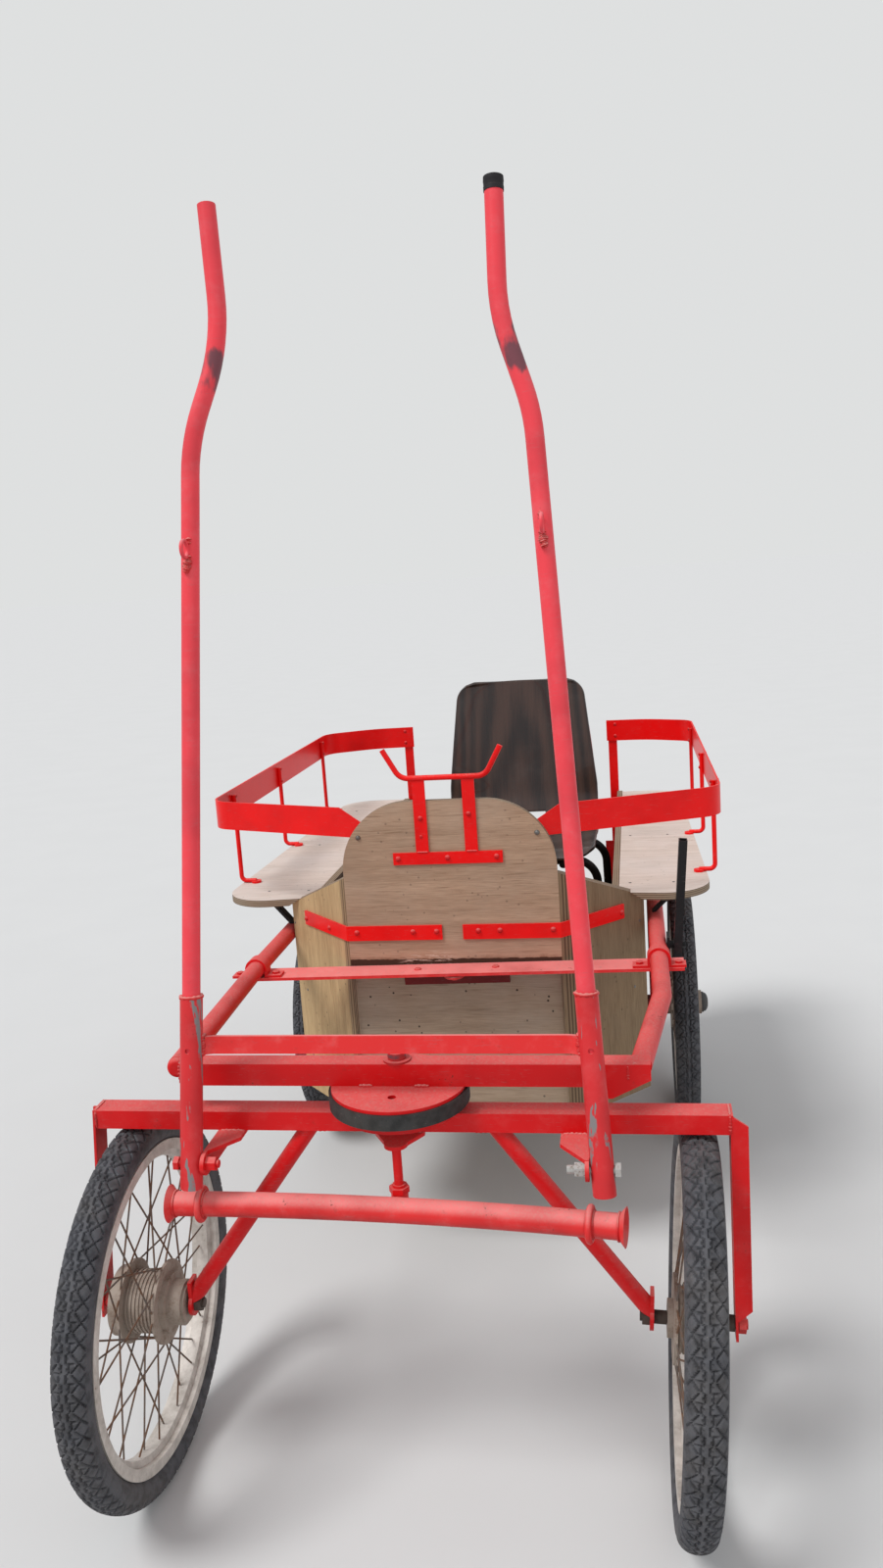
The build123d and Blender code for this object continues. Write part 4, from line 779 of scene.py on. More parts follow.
@dataclass(frozen=True)
class HubAndSpokes:
    """Hub metal near the axle and rusty wire beyond the flanges."""

    name: str
    axle: Point
    flange_radius: float = 0.0648
    hub: Colour = rgb(0.36, 0.295, 0.245)
    wire: Colour = rgb(0.13, 0.105, 0.09)
    rust: Colour = rgb(0.15, 0.075, 0.040)

    def material(self) -> bpy.types.Material:
        """Build the material, told apart by the distance from the axle.

        Returns:
            The finished material.
        """
        shader = Shader(self.name)
        _, along, up = shader.split(shader.place(centre=self.axle))
        reach = (along * along + up * up) ** 0.5
        spoke = reach.rise(self.flange_radius, self.flange_radius + 0.002)
        here = shader.place()
        cloud = shader.noise(here, 38.0, 6.0, 0.7)
        grit = shader.noise(here, 500.0, 4.0, 0.7)
        hub = shader.mix(self.hub, self.rust, (cloud * 0.6 + grit * 0.4).rise(0.46, 0.68) * 0.8)
        hub = shader.mix(hub, rgb(0.50, 0.46, 0.41), grit.rise(0.58, 0.75) * 0.4)
        wire = shader.mix(self.wire, self.rust, cloud.rise(0.4, 0.6))
        return shader.finish(shader.mix(hub, wire, spoke), 0.62 + grit * 0.2,
                             grit * 0.5 + cloud * 0.5, 0.0005, metallic=0.25 - spoke * 0.05)


# Sub-assemblies


@dataclass
class Dressing:
    """Finishes for the CAD nodes that are shown as they are."""

    own_pieces: tuple[str, ...] = ("_tyre", "_rim", "_hub", "seat_shell")

    def woods(self) -> list[tuple[Plywood, tuple[str, ...]]]:
        """Finishes of the plywood nodes.

        Returns:
            Pairs of a finish and the names of its nodes.
        """
        slant = math.degrees(CORNER_SLANT)
        front = Plywood("front_panel_ply", light=rgb(0.50, 0.335, 0.225),
                        dark=rgb(0.28, 0.175, 0.108), grey=rgb(0.43, 0.33, 0.25), contrast=0.95,
                        specks=0.35, foot=0.680, scrape=(-0.05, -0.177, 0.672))
        lower = Plywood("lower_panel_ply", light=rgb(0.43, 0.325, 0.23),
                        dark=rgb(0.26, 0.185, 0.125), grey=rgb(0.37, 0.31, 0.25), greying=0.6,
                        contrast=0.9, specks=0.95)
        bench = Plywood("bench_ply", 0, 2, light=rgb(0.76, 0.64, 0.57),
                        dark=rgb(0.50, 0.40, 0.33), grey=rgb(0.70, 0.62, 0.58), greying=0.55,
                        contrast=0.8, specks=0.25)
        # The side walls' ply is the plain ply at about a third of its brightness: painted shade on
        # the tub's walls
        shaded_walls = Plywood("wall_ply_shaded", 1, 0, light=rgb(0.17, 0.10, 0.06),
                        dark=rgb(0.075, 0.042, 0.026), grey=rgb(0.15, 0.11, 0.08))
        # The left corner panel's ply is the right one's at half brightness: painted shade on the
        # left corner panel
        left = Plywood("corner_ply_left_shaded", 2, 1, slant, light=rgb(0.30, 0.21, 0.12),
                       dark=rgb(0.165, 0.105, 0.058), grey=rgb(0.235, 0.175, 0.115),
                       greying=0.4, contrast=0.9, band=(0.217, 0.242))
        right = Plywood("corner_ply_right", 2, 1, -slant, light=rgb(0.60, 0.42, 0.22),
                        dark=rgb(0.33, 0.21, 0.10), grey=rgb(0.46, 0.34, 0.19), greying=0.35,
                        contrast=0.9, band=(0.214, 0.227))
        return [(front, ("front_panel",)), (lower, ("lower_panel",)),
                (Plywood("floor_ply", 1, 2, greying=0.6), ("floor_board",)),
                (shaded_walls, ("side_wall_left", "side_wall_right")),
                (bench, ("bench_board_left", "bench_board_right")),
                (left, ("corner_panel_left",)), (right, ("corner_panel_right",))]

    def metals(self) -> list[tuple[OldPaint | Rubber, tuple[str, ...]]]:
        """Finishes that differ from the plain red.

        Returns:
            Pairs of a finish and the names of its nodes.
        """
        bright = OldPaint("bright_red_paint", rgb(0.86, 0.004, 0.004), rgb(0.86, 0.055, 0.045),
                          fading=0.35, chips=0.15, gloss=0.26, streaks=0.1)
        poles = OldPaint("pole_paint", rgb(0.84, 0.062, 0.080), rgb(0.86, 0.21, 0.23),
                         fading=1.0, chips=0.2, streaks=0.1, worn=(1.68, 1.80))
        sockets = OldPaint("socket_paint", rgb(0.66, 0.030, 0.034), rgb(0.76, 0.17, 0.17),
                           fading=0.85, streak=(70.0, 70.0, 8.0), streaks=1.0)
        dull = OldPaint("dark_red_paint", rgb(0.17, 0.014, 0.014), rgb(0.22, 0.06, 0.05),
                        gloss=0.55)
        black = OldPaint("black_paint", rgb(0.012, 0.012, 0.013), rgb(0.035, 0.035, 0.036),
                         bare=rgb(0.12, 0.09, 0.08), dust=rgb(0.10, 0.09, 0.08), chips=0.25,
                         gloss=0.30)
        kingpin = OldPaint("kingpin_paint", rgb(0.45, 0.02, 0.02), worn=(0.7178, 0.7300),
                           chips=0.7)
        brackets = OldPaint("bracket_paint", fading=0.9, bolt=(-0.857, 0.590))
        spindles = OldPaint("spindle_paint", rgb(0.50, 0.012, 0.012), chips=0.7, gloss=0.5,
                            painted_from=0.489)
        pale = OldPaint("pale_red_paint", rgb(0.74, 0.030, 0.030), rgb(0.88, 0.24, 0.23),
                        fading=1.0)
        ring = Rubber("ring_rubber", rgb(0.014, 0.014, 0.014), rgb(0.035, 0.034, 0.034),
                      dirt=0.3, grooved=False)
        return [(bright, ("guard_rail_left", "guard_rail_right", "corner_straps", "rein_rail")),
                (pale, ("shaft_crossbar", "cross_strap", "swingletree")),
                (poles, ("shaft_pole_left", "shaft_pole_right")),
                (sockets, ("shaft_socket_left", "shaft_socket_right")),
                (dull, ("body_bracket", "rear_axle")), (kingpin, ("kingpin",)),
                (black, ("board_braces", "brake_lever", "seat_frame")),
                (spindles, ("front_spindles",)), (brackets, ("shaft_brackets",)),
                (ring, ("turntable_ring",))]

    def build(self, frame: dict[str, Any]) -> None:
        """Dress every shown node of the frame.
        """
        special = {}
        for finish, names in self.woods() + self.metals():
            special.update(dict.fromkeys(names, finish.material()))
        red = OldPaint().material()
        for name, node in frame["nodes"].items():
            if not name.endswith(self.own_pieces):
                dress(node, special.get(name, red))
        LOG.info("dressed the frame's %d nodes", len(frame["nodes"]))


@dataclass
class Tyre:
    """One treaded tyre: a rounded casing carried round the wheel with grooves cut in.

    Attributes:
        name: which wheel it belongs to.
        steps: places round the wheel.
        tread_steps: places across the outside.
        blocks: blocks of the tread round the wheel.
        groove: half the width of a groove.
        tread_half: distance over the crown to the tread's edge.
    """

    name: str
    steps: int
    tread_steps: int
    radius: float = 0.300
    blocks: int = 70
    groove: float = 0.0017
    groove_depth: float = 0.0040
    tread_half: float = 0.033
    crease: float = 50.0

    def casing(self) -> tuple[np.ndarray, np.ndarray]:
        """Cross-section from one bead over the crown to the other, on a smooth curve.

        Returns:
            Arrays of across and radius.
        """
        half = np.array([(0.0197, 0.2413), (0.0197, 0.2555), (0.0243, 0.2605),
                         (0.0281, 0.2700), (0.0285, 0.2765), (0.0265, 0.2860),
                         (0.0205, 0.2937), (0.0110, 0.2985), (0.0, self.radius)])
        curve = spline(np.vstack([half, half[-2::-1] * (-1, 1)]), self.tread_steps)
        return curve[:, 0], np.minimum(curve[:, 1], self.radius)

    def tread(self, turn: np.ndarray, across: np.ndarray) -> np.ndarray:
        """Depth of the grooves: two toothed lines beside a middle rib and crossed diagonals.

        Args:
            turn: distance round the crown.
            across: distance over the crown from its middle line.

        Returns:
            Depth in metres, broadcast over both.
        """
        pitch = TURN * self.radius / self.blocks
        reach = np.abs(across)
        shifted = turn + np.where(np.sign(across) > 0, 0.5 * pitch, 0.0)
        soft = 0.0006

        def line(position: np.ndarray, spacing: float, half: float) -> np.ndarray:
            """Grooves at an even spacing, 1 in their middle and 0 beside them."""
            away = np.abs((position / spacing + 0.5) % 1.0 - 0.5) * spacing
            return 1 - smooth_step(away, half * 0.55, half * 1.45)

        def between(low: float, high: float) -> np.ndarray:
            """1 where the distance from the middle line lies between two limits."""
            inner = smooth_step(reach, low - soft, low + soft)
            return inner * (1 - smooth_step(reach, high - soft, high + soft))

        slant = (reach - 0.0105) * 1.12
        diagonal = np.maximum(line(shifted + slant, pitch, self.groove),
                              line(shifted - slant, pitch, self.groove))
        diagonal = diagonal * between(0.0105, self.tread_half)
        # The inner line steps outwards by a tooth over half of each block
        share = np.abs((shifted / pitch + 0.25) % 1.0 - 0.5) * pitch
        step = smooth_step(share, pitch / 4 - 0.0008, pitch / 4 + 0.0008)
        inner = 1 - smooth_step(np.abs(reach - 0.0042 - 0.0030 * step), 0.0007, 0.0016)
        tooth = line(shifted + pitch / 4, pitch / 2, self.groove) * between(0.0040, 0.0074)
        stub = line(shifted + pitch / 2, pitch, self.groove * 0.85) * between(0.0070, 0.0150)
        rib = 1 - smooth_step(np.abs(reach - self.tread_half - 0.0015), soft, 0.0016)
        grooves = [diagonal, inner, tooth, stub, 0.5 * rib + 0 * shifted]
        return self.groove_depth * np.maximum.reduce(grooves)

    def build(self, centre: Point, camber: float) -> bpy.types.Object:
        """Build the tyre round the wheel's centre.

        Args:
            centre: the wheel's centre.
            camber: lean of the wheel's top towards +X, in degrees.

        Returns:
            The tyre, with the depth of its grooves from 0 to 1 as an attribute.
        """
        across, radius = self.casing()
        tangent = np.stack([np.gradient(across), np.gradient(radius)], -1)
        tangent /= np.linalg.norm(tangent, axis=1)[:, None]
        along = length_along(np.stack([across, radius], -1))
        middle = along - along[-1] / 2
        turn = np.linspace(0, TURN, self.steps, endpoint=False)[:, None]
        depth = self.tread(turn * self.radius, middle[None, :])
        x = across - depth * tangent[:, 1]
        r = radius + depth * tangent[:, 0]
        y, z = r * np.cos(turn), r * np.sin(turn)
        cos, sin = math.cos(math.radians(camber)), math.sin(math.radians(camber))
        pile = Pile()
        points = np.stack([x * cos + z * sin, y, z * cos - x * sin], -1)
        pile.grid(points + np.asarray(centre), wrap_u=True, wrap_v=True)
        tyre = pile.object(f"{self.name}_tyre_treaded", crease=self.crease)
        # The groove's depth again at each vertex, found from its place across the casing
        values = np.empty(len(tyre.data.vertices) * 3)
        tyre.data.vertices.foreach_get("co", values)
        away = values.reshape(-1, 3) - np.asarray(centre)
        side = away[:, 0] * cos - away[:, 2] * sin
        up = away[:, 0] * sin + away[:, 2] * cos
        round_crown = np.arctan2(up, away[:, 1]) * self.radius
        on_tread = np.hypot(away[:, 1], up) > self.radius - 0.032
        groove = self.tread(round_crown, np.interp(side, across, middle)) / self.groove_depth
        layer = tyre.data.attributes.new(GROOVE, "FLOAT", "POINT")
        layer.data.foreach_set("value", (groove * on_tread).astype(np.float32))
        return tyre


@dataclass
class Wheels:
    """The four wheels: treaded tyres, dressed rims, hubs and spokes, and rear hub caps.

    Attributes:
        steps: places round and across a tyre at each end of the cart.
        camber: lean of the front left wheel's top, in degrees.
        cap_reach, cap_radius, cap_height: place and size of a hub cap, in mm.
    """

    steps: tuple[tuple[str, int, int], ...] = (("front", 1400, 70), ("rear", 980, 60))
    camber: float = 3.2
    cap_reach: float = 513.0
    cap_radius: float = 26.0
    cap_height: float = 17.0

    def build(self, frame: dict[str, Any]) -> None:
        """Build and dress all four wheels.
        """
        rubber = Rubber().material()
        alloy = BareMetal("rim_alloy", rgb(0.68, 0.63, 0.58), rusting=0.14, metallic=0.2,
                          roughness=0.5).material()
        for end, steps, across in self.steps:
            for side in ("left", "right"):
                name = f"{end}_{side}"
                low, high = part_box(f"{name}_tyre")
                centre = tuple((low + high) / 2)
                camber = self.camber if name == "front_left" else 0.0
                tyre = Tyre(name, steps, across).build(centre, camber)
                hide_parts(f"{name}_tyre")
                settle(tyre, rubber, f"{name}_wheel")
                dress(frame["nodes"][f"{name}_rim"], alloy)
                hub = HubAndSpokes(f"{name}_hub_metal", centre).material()
                dress(frame["nodes"][f"{name}_hub"], hub)

    def caps(self) -> None:
        """Build a dull round cap over the outer end of each rear hub, turned round the axle."""
        metal = BareMetal("cap_metal", rgb(0.085, 0.085, 0.085), rusting=0.3, metallic=0.2,
                          roughness=0.55).material()
        r, h = self.cap_radius * MM, self.cap_height * MM
        profile = [(r * 0.92 * math.sin(a) ** 0.8, h * (0.35 + 0.65 * math.cos(a)))
                   for a in np.linspace(0, np.pi / 2, 9)]
        profile += [(r, h * 0.30), (r, 0.0), (0, 0.0)]
        for side, name in ((1, "left"), (-1, "right")):
            pile = Pile()
            centre = at(side * self.cap_reach, WHEELBASE, AXLE_HEIGHT)
            pile.grid(lathe(profile, centre, (side, 0, 0), 36), wrap_u=True)
            settle(pile.object(f"rear_{name}_cap", crease=40.0), metal,
                   f"rear_{name}_wheel")


@dataclass
class SeatShell:
    """Moulded plywood shell: a profile carried across, dished and curved round.

    Attributes:
        slot_width, slot_half: size of the opening at the bend, across and along.
        slot_at: its place along the profile, as a share.
        dish, curl: how far the middle sinks and how far the back's sides come forward.
    """

    centre_x: float = 0.072
    thickness: float = 0.0085
    width: float = 0.392
    top_width: float = 0.332
    slot_width: float = 0.110
    slot_half: float = 0.020
    slot_at: float = 0.495
    dish: float = 0.008
    curl: float = 0.020
    corners: tuple[float, float] = (0.055, 0.045)
    rows: int = 120
    columns: int = 60

    def profile(self) -> np.ndarray:
        """Points along the middle, from the front lip over the bend to the back's top.

        Returns:
            Array of shape (rows, 2): along the cart and up.
        """
        low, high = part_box("seat_shell")
        front, seat = low.y + 0.004, low.z + 0.024
        rough = [(front + y, seat + z) for y, z in (
            (0.0, -0.014), (0.012, -0.002), (0.06, 0.006), (0.18, 0.004), (0.30, -0.006),
            (0.352, 0.012), (0.380, 0.060), (0.398, 0.12), (0.418, 0.22))]
        return spline(np.array(rough + [(high.y - 0.008, high.z - 0.002)]), self.rows)

    def surface(self) -> tuple[np.ndarray, np.ndarray]:
        """Middle surface: the profile carried across, its middle sunk and its back curled round.

        Returns:
            Points of shape (rows, columns, 3), and a flag for each cell in the slot.
        """
        line = self.profile()
        steps = length_along(line)
        share = steps / steps[-1]
        side = np.linspace(-1, 1, self.columns)
        half = np.interp(share, [0, 0.62, 1], [self.width / 2, self.width / 2, self.top_width / 2])
        for corner, away in zip(self.corners, (steps, steps[-1] - steps)):
            inside = np.clip(corner - away, 0, corner)
            half = half - (corner - np.sqrt(corner**2 - inside**2))
        back = smooth_step(share, 0.5, 0.7)[:, None]
        bow = (side**2)[None, :]
        x = self.centre_x + half[:, None] * side
        y = line[:, 0][:, None] - self.curl * bow * back
        sink = self.dish * (bow - 1) * (1 - back) * smooth_step(share, 0.0, 0.2)[:, None]
        points = np.stack([x, y, line[:, 1][:, None] + sink], -1)
        cells = np.arange((self.rows - 1) * (self.columns - 1))
        rows, columns = np.divmod(cells, self.columns - 1)
        bend = np.abs(steps[rows] - np.interp(self.slot_at, share, steps))
        across = np.abs(half[rows] * (side[columns] + side[columns + 1]) / 2)
        return points, (bend < self.slot_half) & (across < self.slot_width / 2)

    def build(self, material: bpy.types.Material) -> None:
        """Build the shell with its slot, give it its thickness and round its edges.

        Args:
            material: its finish.
        """
        points, slot = self.surface()
        pile = Pile()
        pile.grid(points)
        pile.faces[0] = pile.faces[0][~slot]
        shell = pile.object("seat_shell_moulded", crease=60.0)
        wall = shell.modifiers.new("wall", "SOLIDIFY")
        wall.thickness = self.thickness
        wall.offset = 0.0
        round_over = shell.modifiers.new("round", "BEVEL")
        round_over.width = 0.002
        round_over.segments = 2
        round_over.limit_method = "ANGLE"
        round_over.angle_limit = math.radians(50)
        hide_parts("seat_shell")
        settle(shell, material, Body.CHASSIS.value)


@dataclass(frozen=True)
class Fastener:
    """One bolt or rivet head, in mm.

    Attributes:
        place: centre of its seat: across, along from the front axle, and up.
        axis: direction that the head stands out.
        radius: radius of the head, or half the distance across flats.
        height: how far it stands out.
        head: its shape.
    """

    place: Point
    axis: Point
    radius: float
    height: float
    head: Head = Head.DOME

    def surface(self) -> np.ndarray:
        """Points of the head, a turned profile, with six flats for a hexagon.

        Returns:
            Array of shape (sides, profile points, 3).
        """
        r, h = self.radius * MM, self.height * MM
        if self.head is Head.DOME:
            profile = [(r * math.sin(a), h * math.cos(a)) for a in np.linspace(0, np.pi / 2, 7)]
            return lathe(profile + [(r, SUNK), (0, SUNK)], at(*self.place), self.axis, 20)
        profile = [(0, h), (r * 0.8, h), (r, h * 0.86), (r, SUNK), (0, SUNK)]
        points = lathe(profile, (0, 0, 0), UPWARD, 24)
        turn = np.linspace(0, TURN, 24, endpoint=False)
        wedge = np.pi / 6
        stretch = 1 / np.cos((turn + wedge) % (2 * wedge) - wedge)
        points[..., :2] *= stretch[:, None, None]
        return points @ basis(self.axis) + np.asarray(at(*self.place))


def slanted(x: float, z: float, side: int, start: tuple[float, float], lean: float,
            size: tuple[float, float]) -> Fastener:
    """A head on a face that runs back from a place, towards either side, in mm.

    Args:
        x, z: distance from the middle line and height.
        side: 1 for +X and -1 for -X.
        start: distance from the middle line and along the cart where the face begins.
        lean: angle of the face from straight across, in radians.
        size: radius and height of the head.

    Returns:
        The head.
    """
    along = start[1] + (x - start[0]) * math.tan(lean)
    return Fastener((side * x, along, z), (side * math.sin(lean), -math.cos(lean), 0), *size)


@dataclass
class Hardware:
    """Bolts, screws and rivets that hold the body, the rails and the clamps.

    Attributes:
        strap, ply: outer face of the straps and of the front panel along the cart, in mm.
        rods: places of the guard rails' rods along the cart, in mm.
        rails: side, top edge, front and rear bend of each rail, in mm.
        rail_ends: first and last place along the cart of a rail's straight run, in mm.
    """

    strap: float = 588.7
    ply: float = 593.0
    rods: tuple[float, ...] = (880.0, 1240.6, 1675.0)
    rails: tuple[tuple[int, float, float, float], ...] = (
        (1, 975.0, 538.0, 527.0), (-1, 982.0, 534.0, 538.0))
    rail_ends: tuple[float, float] = (751.0, 1758.0)

    def straps(self) -> list[Fastener]:
        """Bolt heads on the corner straps, the rein rail and the cross strap.

        Returns:
            The heads.
        """
        items = [Fastener((x, self.strap, 732), FORWARD, 5.6, 5.2)
                 for x in (-195, -80, -32, 52, 95, 200)]
        items += [slanted(x, 728, side, (KNEE_X, self.strap), CORNER_SLANT, (5.6, 5.2))
                  for x, side in ((331, 1), (262, 1), (332, -1), (264, -1))]
        items += [Fastener((x, 589, z), FORWARD, radius, height) for x, z, radius, height in (
            (-99, 882.5, 5.4, 5.0), (0, 882.5, 5.4, 5.0), (97, 882.5, 5.4, 5.0),
            (-49, 963, 5.0, 4.4), (47, 969, 5.0, 4.4), (-50, 926, 3.4, 1.6))]
        return items + [Fastener((x, along, 664.4 + PLATE_SLOPE * x), UPWARD, 7.5, 4.2)
                        for x, along in ((-70, 561), (85, 565))]

    def rail_rivets(self) -> list[Fastener]:
        """Rivets and bolt heads along both guard rails.

        Returns:
            The heads.
        """
        items = []
        first, last = self.rail_ends
        for side, top, front, rear in self.rails:
            for along in self.rods:
                x = front + (rear - front) * (along - first) / (last - first)
                for drop in (14, 46):
                    items.append(Fastener((side * (x - 10.5), along, top - drop), (-side, 0, 0),
                                          4.2, 3.2))
                    items.append(Fastener((side * (x + 1.8), along, top - drop), (side, 0, 0),
                                          5.4, 5.0, Head.HEX))
            items += [Fastener((side * 313, 1830.9, top - drop), FORWARD, 5.2, 4.0)
                      for drop in (12, 46)]
            lean = math.atan2(142.0, front - 168.0)
            items += [slanted(x, top - 30, side, (168.0, 609.0), lean, (2.8, 1.2))
                      for x in (333, 427)]
        return items

    def steel(self) -> list[Fastener]:
        """Bare steel bolt heads and screws on the plywood.

        Returns:
            The heads.
        """
        items = [Fastener((x, self.ply, 927), FORWARD, 5.2, 4.6) for x in (-178, 178)]
        items += [slanted(x, z, side, (KNEE_X, self.ply), CORNER_SLANT, (2.8, 1.0))
                  for x, z, side in ((367, 698, 1), (373, 706, -1), (352, 560, 1), (352, 560, -1),
                                     (352, 410, 1), (352, 410, -1))]
        items += [Fastener((x, 605, 645), FORWARD, 2.4, 0.8) for x in (-190, -95, 0, 95, 190)]
        return items + [Fastener((side * x, along, 765), UPWARD, 3.2, 1.0) for side in (-1, 1)
                        for along in (800, 1240, 1660) for x in (350, 440)]

    def clamp_bolts(self) -> list[Fastener]:
        """Bolt heads on the feet of the tube clamps, on the plates' own slope."""
        return [Fastener((x, 547, 669.3 + PLATE_SLOPE * x), UPWARD, 6.4, 5.0, Head.HEX)
                for centre in (401.3, -395.0) for x in (centre - 37, centre + 37)]

    def build(self) -> None:
        """Build all heads, one piece to a group."""
        red = OldPaint("bolt_red_paint", rgb(0.60, 0.010, 0.012), rgb(0.66, 0.14, 0.13),
                       fading=0.7, chips=0.6, streaks=0.0).material()
        zinc = BareMetal("bolt_steel", rgb(0.20, 0.19, 0.18), rusting=0.35,
                         metallic=0.6).material()
        rivet = BareMetal("seat_rivet_steel", rgb(0.62, 0.60, 0.57), rusting=0.1,
                          metallic=0.4).material()
        seat = [Fastener((62, 1503.5, 1004), FORWARD, 4.6, 1.8)]
        for name, items, material, slot in (
                ("strap_bolts", self.straps(), red, Slot.RED),
                ("rail_rivets", self.rail_rivets(), red, Slot.RED),
                ("clamp_bolts", self.clamp_bolts(), red, Slot.RED),
                ("panel_bolts", self.steel(), zinc, Slot.STEEL),
                ("seat_rivet", seat, rivet, Slot.STEEL)):
            pile = Pile()
            for item in items:
                pile.grid(item.surface(), wrap_u=True)
            settle(pile.object(name, crease=30.0, weld=1e-7), material, Body.CHASSIS.value)


def bead(path: np.ndarray, radius: float, seed: float, closed: bool = False) -> np.ndarray:
    """A round section carried along a path, its radius swollen and pinched by ripples.

    Args:
        path: points of the bead's middle line, shape (n, 3), in metres.
        radius: mean radius in mm.
        seed: shifts the lumps.
        closed: the path is a ring.

    Returns:
        Array of shape (n, 10, 3).
    """
    radius *= MM
    if closed:
        tangent = np.roll(path, -1, 0) - np.roll(path, 1, 0)
    else:
        tangent = np.gradient(path, axis=0)
    tangent /= np.linalg.norm(tangent, axis=1)[:, None]
    steep = abs(tangent[0, 2]) >= 0.8
    side = np.cross((0.94, 0.31, 0.17) if steep else (0.31, 0.17, 0.94), tangent)
    side /= np.linalg.norm(side, axis=1)[:, None]
    up = np.cross(tangent, side)
    turn = np.linspace(0, TURN, 10, endpoint=False)
    laps = max(2, round(length_along(path)[-1] / (radius * 2.6)))
    along = np.linspace(0, TURN, len(path), endpoint=not closed)
    waves = np.sin(along * laps + seed) * 0.16 + ripple(along * 2, seed) * 0.20
    size = radius * (1 + waves[:, None] + 0.12 * np.sin(3 * turn + along[:, None] * 4 + seed))
    if not closed:
        share = np.linspace(-1, 1, len(path))
        size = size * np.sqrt(np.clip(1 - np.abs(share) ** 6, 0, 1))[:, None]
    ring = np.cos(turn)[:, None] * side[:, None, :] + np.sin(turn)[:, None] * up[:, None, :]
    return path[:, None, :] + size[..., None] * ring


def line_bead(start: Sequence[float], end: Sequence[float], radius: float, seed: float,
              steps: int) -> np.ndarray:
    """A bead along a straight line between two points in metres.

    Args:
        start, end: the line's ends.
        radius: mean radius in mm.
        seed: shifts the lumps.
        steps: points along the line.

    Returns:
        Array of shape (steps, 10, 3).
    """
    first, last = np.asarray(start), np.asarray(end)
    path = first + np.linspace(0, 1, steps)[:, None] * (last - first)
    return bead(path, radius, seed)


